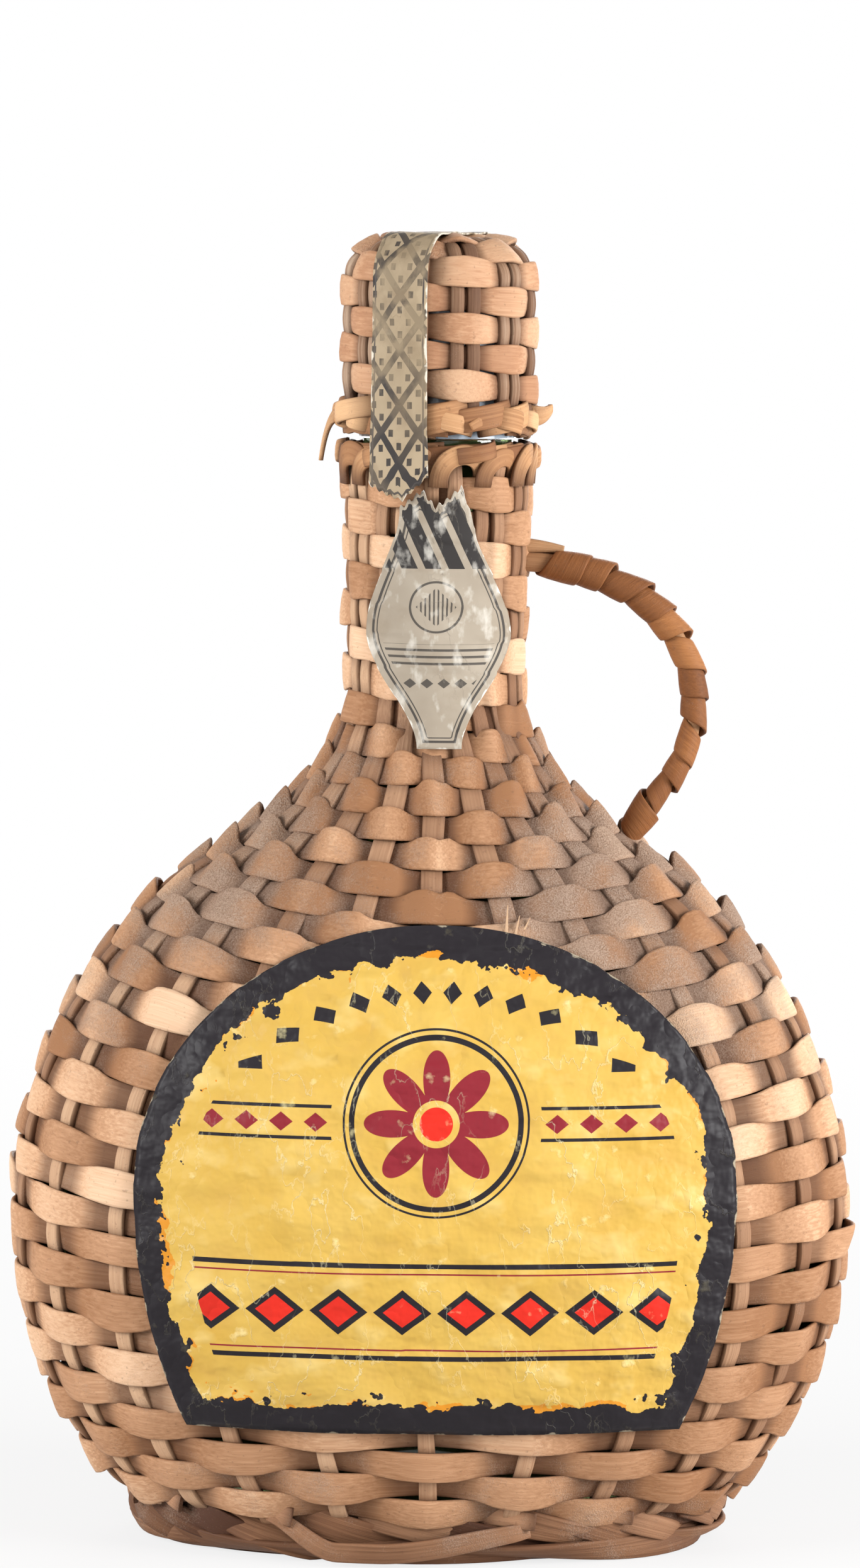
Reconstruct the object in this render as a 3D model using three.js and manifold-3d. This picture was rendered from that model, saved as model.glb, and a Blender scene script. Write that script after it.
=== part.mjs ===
// Wicker flask: a flattened glass flask in a woven willow jacket, with a bound cane handle,
// a wicker-covered stopper and three paper pieces.
// Millimetres, +Z up. The origin is the middle of the foot. The label faces -Y, the handle +X.
import * as THREE from 'three';
import { mergeVertices } from 'three/addons/utils/BufferGeometryUtils.js';
import Module from 'manifold-3d';

const wasm = await Module();
wasm.setup();

// Flask, measured over its weave
const BODY_WIDTH = 158;
const BODY_DEPTH = 86;
const BODY_MID_Z = 60;
const SHOULDER_RISE = 82;
const BELLY_DROP = 77;
const FRONT_FULLNESS = 0.15;
const FULLNESS_FADE_ROWS = 9;
const SIDE_JOIN_ANGLE = 60;
const FRONT_JOIN_ANGLE = 45;
const NECK_SWEEP_RISE = 30;
const NECK_RADIUS = 17;
const NECK_TOP_RADIUS = 18;
const NECK_LENGTH = 41.5;
const FOOT_BORDER_HEIGHT = 6;
const FOOT_BORDER_DEPTH = 9;
const FOOT_TUCK = 5;

// Weave
const STAKE_COUNT = 23;
const STAKE_WIDTH = 4.2;
const STAKE_NECK_WIDTH = 2.6;
const STAKE_THICK = 1.8;
const STAKE_CROWN = 0.6;
const NECK_GROUPS = 11;
const NECK_TWIST = 4;
const PAIR_SPREAD_ROWS = 4;
const SKEIN_WIDTH = 4.5;
const SKEIN_THICK = 1.2;
const BODY_SKEINS = 10;
const TURNS_PER_SKEIN = 3;
const NECK_SKEIN_TURNS = [4, 3];
const WEAVE_GAP = 0.6;
const CLEARANCE = 0.3;
const GLASS_CLEARANCE = 0.45;

// Glass
const GLASS_WALL = 3;
const GLASS_BASE = 5;
const PUNT_RISE = 8;
const NECK_BORE = 19;
const LIP_RISE = 3.2;

// Stopper
const CORK_LENGTH = 24;
const CORK_TAPER = 0.6;
const CAP_WALL = 1.2;
const NECK_RIM_HEIGHT = 2.8;
const RIM_GAP = 1.6;
const HOOD_RIM_HEIGHT = 3.4;
const HOOD_HEIGHT = 36;
const HOOD_RADIUS = 18.3;
const HOOD_EDGE_RADIUS = 9;
const HOOD_EYE_RADIUS = 5;
const HOOD_PAIRS = 11;
const HOOD_PAIR_WIDTH = 5.4;
const HOOD_STAKE_THICK = 1.6;
const HOOD_SKEIN_WIDTH = 4;
const HOOD_SKEIN_TURNS = [4, 3];
const RIM_BULGE = 0.3;

// Handle
const HANDLE_TOP_Z = 183;
const HANDLE_REACH = 48.2;
const HANDLE_BOW_Z = 157.5;
const HANDLE_SEAT_ROW = 6;
const HANDLE_TOP_RADIUS = 2.1;
const HANDLE_FOOT_RADIUS = 1.4;
const BINDING_TURNS = 12;
const BINDING_WIDTH = 4.2;
const BINDING_THICK = 0.7;
const BINDING_START = 4.5;
const BINDING_END = 3;

// Paper
const PAPER_THICK = 0.3;
const PAPER_CLEARANCE = 0.45;
const LABEL_WIDTH = 109;
const LABEL_MID_X = 1;
const LABEL_MID_Z = 71;
const LABEL_TOP_RISE = 47.5;
const LABEL_SIDE_DROP = 77;
const LABEL_BOTTOM_Z = 27;
const NECK_SEAL_TOP_DROP = 8;
const NECK_SEAL_FOOT_DROP = 11.5;
const NECK_SEAL_WIDTH = 25.6;
const NECK_SEAL_TOP_WIDTH = 13.4;
const NECK_SEAL_FOOT_WIDTH = 8;
const NECK_SEAL_WAIST = 0.47;
const STRIP_WIDTH = 10.4;
const STRIP_ANGLE = 248;
const STRIP_HANG = 10;
const STRIP_BACK_DROP = 14;

// Facets
const SWEEP_ROWS = 7;
const BINDING_STEPS = 14;
const HOOD_STEPS = 20;
const ROUND_STEPS = 24;
const BORDER_STEPS = 46;

// Places that follow from the sizes above
const RAD = Math.PI / 180;
const FRONT = 270 * RAD;
const TURN = 2 * Math.PI;
const STAKE_STEP = TURN / STAKE_COUNT;
const BODY_TURNS = BODY_SKEINS * TURNS_PER_SKEIN;
const BODY_ROWS = BODY_TURNS + 1;
const NECK_ROWS = NECK_SKEIN_TURNS[0] + NECK_SKEIN_TURNS[1];
const SEAM_ANGLE = FRONT + Math.floor(STAKE_COUNT / 2) * STAKE_STEP;
const SWEEP_Z = BODY_MID_Z + SHOULDER_RISE * Math.sin(SIDE_JOIN_ANGLE * RAD) + NECK_SWEEP_RISE;
const NECK_WEAVE_TOP_Z = SWEEP_Z + NECK_LENGTH;
const STAKE_DEPTH = SKEIN_THICK + WEAVE_GAP;
const GLASS_DEPTH = STAKE_DEPTH + STAKE_THICK + GLASS_CLEARANCE;
const NECK_SEAL_TOP_Z = NECK_WEAVE_TOP_Z - NECK_SEAL_TOP_DROP;
const NECK_SEAL_FOOT_Z = SWEEP_Z - NECK_SEAL_FOOT_DROP;
const NECK_RIM_Z = NECK_WEAVE_TOP_Z + CLEARANCE;
const NECK_RIM_TOP_Z = NECK_RIM_Z + NECK_RIM_HEIGHT;
const HOOD_RIM_Z = NECK_RIM_TOP_Z + RIM_GAP;
const HOOD_WEAVE_Z = HOOD_RIM_Z + HOOD_RIM_HEIGHT + CLEARANCE;
const HOOD_TOP_Z = HOOD_RIM_Z + HOOD_HEIGHT;
const LIP_Z = NECK_WEAVE_TOP_Z + LIP_RISE;
const HOOD_STAKE_DEPTH = SKEIN_THICK + WEAVE_GAP;
const CAP_DEPTH = HOOD_STAKE_DEPTH + HOOD_STAKE_THICK + CLEARANCE;
const CAP_RADIUS = HOOD_RADIUS - CAP_DEPTH;
const HEAD_RADIUS = CAP_RADIUS - CAP_WALL - CLEARANCE;

// A closed body from its corner points and triangles, turned so that its faces point out
function solidFrom(corners, faces) {
  const volume = new THREE.Vector3();
  let sixfold = 0;
  for (let i = 0; i < faces.length; i += 3) {
    volume.crossVectors(corners[faces[i + 1]], corners[faces[i + 2]]);
    sixfold += corners[faces[i]].dot(volume);
  }
  const turned = sixfold > 0 ? faces : faces.toReversed();
  const geometry = new THREE.BufferGeometry();
  geometry.setFromPoints(corners);
  geometry.setIndex(turned);
  return geometry;
}

// A body carried through rings of points: open runs get flat ends, a loop closes on itself
function skinned(rings, loop = false) {
  const sides = rings[0].length;
  const faces = [];
  const spans = loop ? rings.length : rings.length - 1;
  for (let i = 0; i < spans; i += 1) {
    const here = i * sides;
    const next = ((i + 1) % rings.length) * sides;
    for (let j = 0; j < sides; j += 1) {
      const k = (j + 1) % sides;
      faces.push(here + j, next + j, here + k, here + k, next + j, next + k);
    }
  }
  const last = (rings.length - 1) * sides;
  for (let j = 1; j < sides - 1 && !loop; j += 1) {
    faces.push(0, j, j + 1, last, last + j + 1, last + j);
  }
  return solidFrom(rings.flat(), faces);
}

// A thin closed sheet between an outer and an inner grid of points
function sheet(outer, inner) {
  const rows = outer.length;
  const columns = outer[0].length;
  const under = rows * columns;
  const at = (i, j) => i * columns + j;
  const faces = [];
  const quad = (a, b, c, d) => faces.push(a, b, c, c, b, d);
  for (let i = 0; i < rows - 1; i += 1) {
    for (let j = 0; j < columns - 1; j += 1) {
      quad(at(i, j), at(i + 1, j), at(i, j + 1), at(i + 1, j + 1));
      faces.push(under + at(i, j), under + at(i, j + 1), under + at(i + 1, j));
      faces.push(under + at(i, j + 1), under + at(i + 1, j + 1), under + at(i + 1, j));
    }
    quad(at(i, 0), under + at(i, 0), at(i + 1, 0), under + at(i + 1, 0));
    const right = columns - 1;
    quad(at(i, right), at(i + 1, right), under + at(i, right), under + at(i + 1, right));
  }
  for (let j = 0; j < columns - 1; j += 1) {
    quad(at(0, j), at(0, j + 1), under + at(0, j), under + at(0, j + 1));
    const top = rows - 1;
    quad(at(top, j), under + at(top, j), at(top, j + 1), under + at(top, j + 1));
  }
  return solidFrom([...outer.flat(), ...inner.flat()], faces);
}

// A turned body: a closed profile of (radius, height) points about the Z axis
function turned(profile) {
  const points = profile.map(([radius, height]) => new THREE.Vector2(radius, height));
  const geometry = new THREE.LatheGeometry(points, ROUND_STEPS).rotateX(Math.PI / 2);
  return merged(geometry);
}

function merged(geometry) {
  const bare = geometry.clone();
  bare.deleteAttribute('normal');
  bare.deleteAttribute('uv');
  return mergeVertices(bare, 1e-4);
}

function toManifold(geometry) {
  const bare = merged(geometry);
  return new wasm.Manifold(new wasm.Mesh({
    numProp: 3,
    vertProperties: new Float32Array(bare.attributes.position.array),
    triVerts: new Uint32Array(bare.index.array),
  }));
}

function fromManifold(solid) {
  const mesh = solid.getMesh();
  const geometry = new THREE.BufferGeometry();
  geometry.setAttribute('position', new THREE.BufferAttribute(mesh.vertProperties, 3));
  geometry.setIndex(new THREE.BufferAttribute(mesh.triVerts, 1));
  return geometry;
}

const smooth = (x) => THREE.MathUtils.smoothstep(x, 0, 1);

// One half-breadth profile of the woven body: neck sweep, shoulder ellipse, belly ellipse
function meridian(halfBreadth, joinAngle) {
  const join = joinAngle * RAD;
  const joinZ = BODY_MID_Z + SHOULDER_RISE * Math.sin(join);
  const joinPoint = new THREE.Vector2(halfBreadth * Math.cos(join), joinZ);
  const lean = (SHOULDER_RISE * Math.cos(join)) / (halfBreadth * Math.sin(join));
  const bend = new THREE.Vector2(NECK_RADIUS, joinZ + (joinPoint.x - NECK_RADIUS) * lean);
  const footAngle = Math.asin((BODY_MID_Z - FOOT_BORDER_HEIGHT) / BELLY_DROP);
  const path = new THREE.CurvePath();
  path.add(new THREE.QuadraticBezierCurve(new THREE.Vector2(NECK_RADIUS, SWEEP_Z), bend, joinPoint));
  path.add(new THREE.EllipseCurve(0, BODY_MID_Z, halfBreadth, SHOULDER_RISE, join, 0, true));
  path.add(new THREE.EllipseCurve(0, BODY_MID_Z, halfBreadth, BELLY_DROP, 0, -footAngle, true));
  return path;
}

const sideMeridian = meridian(BODY_WIDTH / 2, SIDE_JOIN_ANGLE);
const frontMeridian = meridian(BODY_DEPTH / 2, FRONT_JOIN_ANGLE);

// A point on the outside of the weave. The angle runs round the flask from +X, and the row counts
// rows of weave down from the foot of the neck, below zero on the neck.
function weavePoint(angle, row) {
  const cos = Math.cos(angle);
  const sin = Math.sin(angle);
  if (row <= 0) {
    const up = -row / NECK_ROWS;
    const radius = THREE.MathUtils.lerp(NECK_RADIUS, NECK_TOP_RADIUS, up);
    return new THREE.Vector3(radius * cos, radius * sin, SWEEP_Z + NECK_LENGTH * up);
  }
  const share = Math.min(row / BODY_ROWS, 1);
  const side = sideMeridian.getPoint(share);
  const front = frontMeridian.getPoint(share);
  const fullness = FRONT_FULLNESS * smooth(row / FULLNESS_FADE_ROWS);
  const y = front.x * sin * (1 + fullness * cos * cos);
  return new THREE.Vector3(side.x * cos, y, side.y * cos * cos + front.y * sin * sin);
}

// The place on the weave with its outward direction and its direction up the row
function weaveFrame(angle, row) {
  const step = 1e-3;
  const low = Math.min(row + step, BODY_ROWS);
  const up = weavePoint(angle, row - step).sub(weavePoint(angle, low)).normalize();
  const along = weavePoint(angle + step, row).sub(weavePoint(angle - step, row)).normalize();
  const out = new THREE.Vector3().crossVectors(along, up).normalize();
  return { point: weavePoint(angle, row), up, out, along };
}

function weaveOffset(angle, row, depth) {
  const { point, out } = weaveFrame(angle, row);
  return point.addScaledVector(out, -depth);
}

// The angle and row where the front of the weave shows at a given x and z
function frontPlace(x, z) {
  let above = -NECK_ROWS;
  let below = BODY_ROWS;
  let angle = FRONT;
  for (let i = 0; i < 40; i += 1) {
    const row = (above + below) / 2;
    const halfWidth = weavePoint(0, row).x;
    angle = TURN - Math.acos(THREE.MathUtils.clamp(x / halfWidth, -1, 1));
    if (weavePoint(angle, row).z > z) {
      above = row;
    } else {
      below = row;
    }
  }
  return { angle, row: (above + below) / 2 };
}

// The hood's outside: straight side, rounded edge, flat top down to a small eye
const hoodPath = new THREE.CurvePath();
const hoodEdgeZ = HOOD_TOP_Z - HOOD_EDGE_RADIUS;
const hoodFlat = HOOD_RADIUS - HOOD_EDGE_RADIUS;
hoodPath.add(new THREE.LineCurve(
  new THREE.Vector2(HOOD_RADIUS, HOOD_WEAVE_Z), new THREE.Vector2(HOOD_RADIUS, hoodEdgeZ)));
hoodPath.add(new THREE.EllipseCurve(
  hoodFlat, hoodEdgeZ, HOOD_EDGE_RADIUS, HOOD_EDGE_RADIUS, 0, Math.PI / 2));
hoodPath.add(new THREE.LineCurve(
  new THREE.Vector2(hoodFlat, HOOD_TOP_Z), new THREE.Vector2(HOOD_EYE_RADIUS, HOOD_TOP_Z)));

function hoodFrame(angle, share) {
  const step = 1e-3;
  const here = hoodPath.getPoint(share);
  const ahead = hoodPath.getPoint(Math.min(share + step, 1));
  const slope = ahead.sub(hoodPath.getPoint(Math.max(share - step, 0))).normalize();
  const around = (r, z) => new THREE.Vector3(r * Math.cos(angle), r * Math.sin(angle), z);
  return {
    point: around(here.x, here.y),
    up: around(slope.x, slope.y),
    out: around(slope.y, -slope.x),
    along: new THREE.Vector3(-Math.sin(angle), Math.cos(angle), 0),
  };
}

// The four corners of a flat strip's section, its outer face at the frame's point
function stripSection({ point, up, out }, width, thick) {
  const corner = (across, depth) => point.clone()
    .addScaledVector(up, across * width / 2)
    .addScaledVector(out, -depth);
  return [corner(1, 0), corner(-1, 0), corner(-1, thick), corner(1, thick)];
}

// The least distance between points of a wound strip that lie half a turn or more apart along it
function leastGap(rings, stepsPerTurn) {
  let least = Infinity;
  const apart = Math.ceil(stepsPerTurn / 2);
  for (let i = 0; i < rings.length; i += 1) {
    for (let j = i + apart; j < rings.length; j += 1) {
      for (const a of rings[i]) {
        for (const b of rings[j]) {
          least = Math.min(least, a.distanceTo(b));
        }
      }
    }
  }
  return least;
}

function woundStrip(name, rings, stepsPerTurn) {
  console.log(`${name}: least gap to itself ${leastGap(rings, stepsPerTurn).toFixed(2)} mm`);
  return skinned(rings);
}

const flask = new THREE.Group();
const jacket = new THREE.Group();
const stopper = new THREE.Group();
const handle = new THREE.Group();
flask.add(jacket, stopper, handle);

function addPiece(group, name, geometry, color, roughness, metalness = 0) {
  const material = new THREE.MeshStandardMaterial({ color, roughness, metalness });
  const mesh = new THREE.Mesh(geometry, material);
  mesh.name = name;
  group.add(mesh);
}

const numbered = (stem, index) => `${stem}_${String(index + 1).padStart(2, '0')}`;
const WILLOW = 0xc89b73;
const WILLOW_DARK = 0xa5785a;
const BINDING = 0xb9814f;

// Rows where the glass and the stakes change direction: every row in the sweep, fewer below
const bellySteps = 7;
const stations = [-NECK_ROWS];
for (let i = 0; i < SWEEP_ROWS; i += 1) {
  stations.push(i);
}
for (let i = 0; i <= bellySteps; i += 1) {
  stations.push(THREE.MathUtils.lerp(SWEEP_ROWS, BODY_ROWS, i / bellySteps));
}

// Glass flask: the outer wall up to the lip, then the bore and the inner wall back down
function glassFlask() {
  const angles = Array.from({ length: STAKE_COUNT }, (_, k) => FRONT + k * STAKE_STEP);
  const ringAt = (row, depth) => angles.map((angle) => weaveOffset(angle, row, depth));
  const round = (radius, z) => angles.map(
    (angle) => new THREE.Vector3(radius * Math.cos(angle), radius * Math.sin(angle), z));
  const shrunk = (ring, share, z) => ring.map((p) => new THREE.Vector3(p.x * share, p.y * share, z));
  const bore = NECK_BORE / 2;
  const neckWall = NECK_RADIUS - GLASS_DEPTH - bore;
  const wallAt = (row) => THREE.MathUtils.lerp(neckWall, GLASS_WALL, smooth(row / SWEEP_ROWS));
  const baseZ = FOOT_BORDER_HEIGHT;
  const floorZ = baseZ + GLASS_BASE;
  const outer = stations.map((row) => ringAt(row, GLASS_DEPTH)).toReversed();
  const heel = outer[0];
  const inner = stations.slice(2, -1).map((row) => ringAt(row, GLASS_DEPTH + wallAt(row)));
  const hollowFoot = inner[inner.length - 1];
  return skinned([
    shrunk(heel, 0.4, baseZ + PUNT_RISE),
    shrunk(heel, 0.72, baseZ + PUNT_RISE / 3),
    shrunk(heel, 0.86, baseZ),
    shrunk(heel, 0.94, baseZ),
    ...outer,
    round(NECK_TOP_RADIUS - GLASS_DEPTH, LIP_Z),
    round(bore, LIP_Z),
    round(bore, SWEEP_Z),
    ...inner,
    shrunk(hollowFoot, 0.83, floorZ + PUNT_RISE / 3),
    shrunk(hollowFoot, 0.7, floorZ),
    shrunk(hollowFoot, 0.56, floorZ + PUNT_RISE / 3),
    shrunk(hollowFoot, 0.32, floorZ + PUNT_RISE),
  ]);
}

// Stakes: one cane down each side of the flask, drawn together in groups on the neck
function neckAngle(k) {
  const spare = STAKE_COUNT - 2 * NECK_GROUPS;
  const tripleFrom = 2 * Math.floor(NECK_GROUPS / 2);
  const inTriple = k >= tripleFrom && k < tripleFrom + 2 + spare;
  const group = k < tripleFrom + 2 + spare ? Math.min(Math.floor(k / 2), tripleFrom / 2)
    : Math.floor((k - spare) / 2);
  const size = inTriple ? 2 + spare : 2;
  const first = group * 2 + (group > tripleFrom / 2 ? spare : 0);
  const spread = (STAKE_NECK_WIDTH + WEAVE_GAP) / (NECK_RADIUS - GLASS_DEPTH + GLASS_CLEARANCE);
  const middle = FRONT + NECK_TWIST * RAD + group * TURN / NECK_GROUPS;
  return middle + (k - first - (size - 1) / 2) * spread;
}

function stake(k) {
  const bodyAngle = FRONT + k * STAKE_STEP;
  const rings = stations.map((row) => {
    const share = smooth((row + 1) / (PAIR_SPREAD_ROWS + 1));
    const angle = THREE.MathUtils.lerp(neckAngle(k), bodyAngle, share);
    const half = THREE.MathUtils.lerp(STAKE_NECK_WIDTH, STAKE_WIDTH, share) / 2;
    const { point, out, along } = weaveFrame(angle, Math.min(row, BODY_ROWS));
    const corner = (across, depth) => point.clone()
      .addScaledVector(along, across)
      .addScaledVector(out, -depth);
    const inside = STAKE_DEPTH + STAKE_THICK;
    return [
      corner(half * STAKE_CROWN, STAKE_DEPTH),
      corner(-half * STAKE_CROWN, STAKE_DEPTH),
      corner(-half, inside),
      corner(half, inside),
    ];
  });
  return skinned(rings);
}

// Skeins: flat split canes that spiral down the flask, each starting where the last one stops
function skein(name, firstRow, turns) {
  const steps = turns * STAKE_COUNT;
  const rings = [];
  for (let i = 0; i <= steps; i += 1) {
    const end = i === steps ? CLEARANCE / NECK_RADIUS : 0;
    const run = i * STAKE_STEP - end;
    const frame = weaveFrame(SEAM_ANGLE + run, firstRow + run / TURN);
    rings.push(stripSection(frame, SKEIN_WIDTH, SKEIN_THICK));
  }
  return woundStrip(name, rings, STAKE_COUNT);
}

// Foot border: a thick ring under the last row, flat below, that the glass stands on
function footBorder() {
  const top = FOOT_BORDER_HEIGHT - CLEARANCE;
  const rings = [];
  for (let i = 0; i < BORDER_STEPS; i += 1) {
    const { point, out } = weaveFrame(FRONT + i * TURN / BORDER_STEPS, BODY_ROWS);
    const flatOut = new THREE.Vector3(out.x, out.y, 0).normalize();
    const at = (inset, z) => point.clone().addScaledVector(flatOut, -inset).setZ(z);
    const inside = FOOT_BORDER_DEPTH + FOOT_TUCK / 2;
    rings.push([
      at(CLEARANCE, top),
      at(FOOT_TUCK / 4, top / 2),
      at(FOOT_TUCK, 0),
      at(inside, 0),
      at(inside, top),
    ]);
  }
  return skinned(rings, true);
}

// A round rim of tucked cane ends
function rimRing(radius, depth, z, height) {
  const bulge = radius + RIM_BULGE;
  return turned([
    [radius - depth, z],
    [radius, z],
    [bulge, z + height / 2],
    [radius, z + height],
    [radius - depth, z + height],
    [radius - depth, z],
  ]);
}

// Cork: a tapered shank in the bore and a head that fills the cap
function corkStopper() {
  const headZ = LIP_Z + CLEARANCE;
  const shank = NECK_BORE / 2 - CLEARANCE;
  const headTop = HOOD_TOP_Z - CAP_DEPTH - CAP_WALL - CLEARANCE;
  const edge = HOOD_EDGE_RADIUS / 2;
  return turned([
    [0, headZ - CORK_LENGTH],
    [shank - CORK_TAPER, headZ - CORK_LENGTH],
    [shank, headZ],
    [HEAD_RADIUS, headZ],
    [HEAD_RADIUS, headTop - edge],
    [HEAD_RADIUS - edge, headTop],
    [0, headTop],
  ]);
}

// Cap: the moulded cup over the cork's head, whose edge shows between the two rims
function stopperCap() {
  const foot = LIP_Z + CLEARANCE;
  const top = HOOD_TOP_Z - CAP_DEPTH;
  const edge = HOOD_EDGE_RADIUS / 2;
  const inner = CAP_RADIUS - CAP_WALL;
  return turned([
    [inner, foot],
    [CAP_RADIUS, foot],
    [CAP_RADIUS, top - edge],
    [CAP_RADIUS - edge, top],
    [0, top],
    [0, top - CAP_WALL],
    [inner - edge, top - CAP_WALL],
    [inner, top - CAP_WALL - edge],
    [inner, foot],
  ]);
}

// Hood stakes: pairs of canes that start at a small hub on top and run down to the rim
function hoodStakes() {
  const hubRadius = HOOD_EYE_RADIUS + STAKE_NECK_WIDTH;
  const outerZ = HOOD_TOP_Z - HOOD_STAKE_DEPTH;
  const straight = (hoodEdgeZ - HOOD_WEAVE_Z) / hoodPath.getLength();
  const rounded = (HOOD_EDGE_RADIUS * Math.PI / 2) / hoodPath.getLength();
  const shares = [0, straight, straight + rounded / 3, straight + rounded * 2 / 3, straight + rounded, 1];
  let joined = toManifold(turned([
    [0, outerZ - HOOD_STAKE_THICK],
    [hubRadius, outerZ - HOOD_STAKE_THICK],
    [hubRadius, outerZ],
    [0, outerZ],
  ]));
  for (let pair = 0; pair < HOOD_PAIRS; pair += 1) {
    const angle = FRONT + (pair + 0.5) * TURN / HOOD_PAIRS;
    const rings = shares.map((share) => {
      const { point, out, along } = hoodFrame(angle, share);
      const width = THREE.MathUtils.lerp(HOOD_PAIR_WIDTH, STAKE_NECK_WIDTH, share);
      return stripSection({ point: point.addScaledVector(out, -HOOD_STAKE_DEPTH), up: along, out },
        width, HOOD_STAKE_THICK);
    });
    joined = joined.add(toManifold(skinned(rings)));
  }
  return fromManifold(joined);
}

function hoodSkein(name, firstTurn, turns) {
  const rows = HOOD_SKEIN_TURNS[0] + HOOD_SKEIN_TURNS[1] + 1;
  const rings = [];
  for (let i = 0; i <= turns * HOOD_STEPS; i += 1) {
    const end = i === turns * HOOD_STEPS ? CLEARANCE / HOOD_EYE_RADIUS : 0;
    const run = i * TURN / HOOD_STEPS - end;
    const frame = hoodFrame(SEAM_ANGLE - run, (firstTurn + 0.5 + run / TURN) / rows);
    rings.push(stripSection(frame, HOOD_SKEIN_WIDTH, SKEIN_THICK));
  }
  return woundStrip(name, rings, HOOD_STEPS);
}

// Handle: a bent cane from the side of the neck, out and down to the shoulder
const neckSeatRow = -NECK_ROWS * (HANDLE_TOP_Z - SWEEP_Z) / NECK_LENGTH;
const neckSeat = weaveOffset(0, neckSeatRow, -CLEARANCE);
const shoulderFrame = weaveFrame(0, HANDLE_SEAT_ROW);
const shoulderSeat = shoulderFrame.point.clone().addScaledVector(shoulderFrame.out, CLEARANCE);
const bow = new THREE.Vector3(HANDLE_REACH, 0, HANDLE_BOW_Z);
const upperPull = (HANDLE_REACH - neckSeat.x) * 0.62;
const bowPull = (HANDLE_TOP_Z - HANDLE_BOW_Z) / 2;
const handlePath = new THREE.CurvePath();
handlePath.add(new THREE.CubicBezierCurve3(
  neckSeat,
  neckSeat.clone().setX(neckSeat.x + upperPull),
  bow.clone().setZ(HANDLE_BOW_Z + bowPull),
  bow));
handlePath.add(new THREE.CubicBezierCurve3(
  bow,
  bow.clone().setZ(HANDLE_BOW_Z - bowPull),
  shoulderSeat.clone().addScaledVector(shoulderFrame.out, bowPull),
  shoulderSeat));

function handleFrame(share) {
  const step = 1e-3;
  const ahead = handlePath.getPoint(Math.min(share + step, 1));
  const run = ahead.sub(handlePath.getPoint(Math.max(share - step, 0))).normalize();
  const side = new THREE.Vector3(0, 1, 0);
  const radius = THREE.MathUtils.lerp(HANDLE_TOP_RADIUS, HANDLE_FOOT_RADIUS, share);
  return { point: handlePath.getPoint(share), run, side, lift: run.clone().cross(side), radius };
}

function handleCore() {
  const steps = 22;
  const sides = 8;
  const rings = [];
  for (let i = 0; i <= steps; i += 1) {
    const { point, side, lift, radius } = handleFrame(i / steps);
    rings.push(Array.from({ length: sides }, (_, j) => point.clone()
      .addScaledVector(lift, radius * Math.cos(j * TURN / sides))
      .addScaledVector(side, radius * Math.sin(j * TURN / sides))));
  }
  return skinned(rings);
}

// Binding: one flat skein wound round the handle from end to end
function handleBinding() {
  const length = handlePath.getLength();
  const from = BINDING_START / length;
  const to = 1 - BINDING_END / length;
  const steps = BINDING_TURNS * BINDING_STEPS;
  const rings = [];
  for (let i = 0; i <= steps; i += 1) {
    const { point, run, side, lift, radius } = handleFrame(THREE.MathUtils.lerp(from, to, i / steps));
    const angle = i * TURN / BINDING_STEPS;
    const out = lift.clone().multiplyScalar(Math.cos(angle)).addScaledVector(side, Math.sin(angle));
    const reach = radius + CLEARANCE + BINDING_THICK;
    const outside = point.clone().addScaledVector(out, reach);
    rings.push(stripSection({ point: outside, up: run, out }, BINDING_WIDTH, BINDING_THICK));
  }
  return woundStrip('handle_binding', rings, BINDING_STEPS);
}

// A paper piece on the front of the weave, given by its middle and a half-width and a height for each line
function frontPaper(lines, columns, midX) {
  const grid = (lift) => lines.map(({ half, z }) => Array.from({ length: columns + 1 }, (_, j) => {
    const { angle, row } = frontPlace(midX + half * (2 * j / columns - 1), z);
    return weaveOffset(angle, row, -lift);
  }));
  return sheet(grid(PAPER_CLEARANCE + PAPER_THICK), grid(PAPER_CLEARANCE));
}

function frontLabel() {
  const steps = 14;
  const topAngle = 84 * RAD;
  const footAngle = -Math.asin((LABEL_MID_Z - LABEL_BOTTOM_Z) / LABEL_SIDE_DROP);
  const lines = [];
  for (let i = 0; i <= steps; i += 1) {
    const angle = THREE.MathUtils.lerp(footAngle, topAngle, i / steps);
    const rise = angle > 0 ? LABEL_TOP_RISE : LABEL_SIDE_DROP;
    lines.push({ half: LABEL_WIDTH / 2 * Math.cos(angle), z: LABEL_MID_Z + rise * Math.sin(angle) });
  }
  return frontPaper(lines, 14, LABEL_MID_X);
}

function neckSeal() {
  const steps = 12;
  const lines = [];
  for (let i = 0; i <= steps; i += 1) {
    const share = i / steps;
    const lower = share < NECK_SEAL_WAIST;
    const end = lower ? NECK_SEAL_FOOT_WIDTH : NECK_SEAL_TOP_WIDTH;
    const away = lower ? 1 - share / NECK_SEAL_WAIST : (share - NECK_SEAL_WAIST) / (1 - NECK_SEAL_WAIST);
    const width = THREE.MathUtils.lerp(NECK_SEAL_WIDTH, end, smooth(away));
    lines.push({ half: width / 2, z: THREE.MathUtils.lerp(NECK_SEAL_FOOT_Z, NECK_SEAL_TOP_Z, share) });
  }
  return frontPaper(lines, 10, 0);
}

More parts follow.
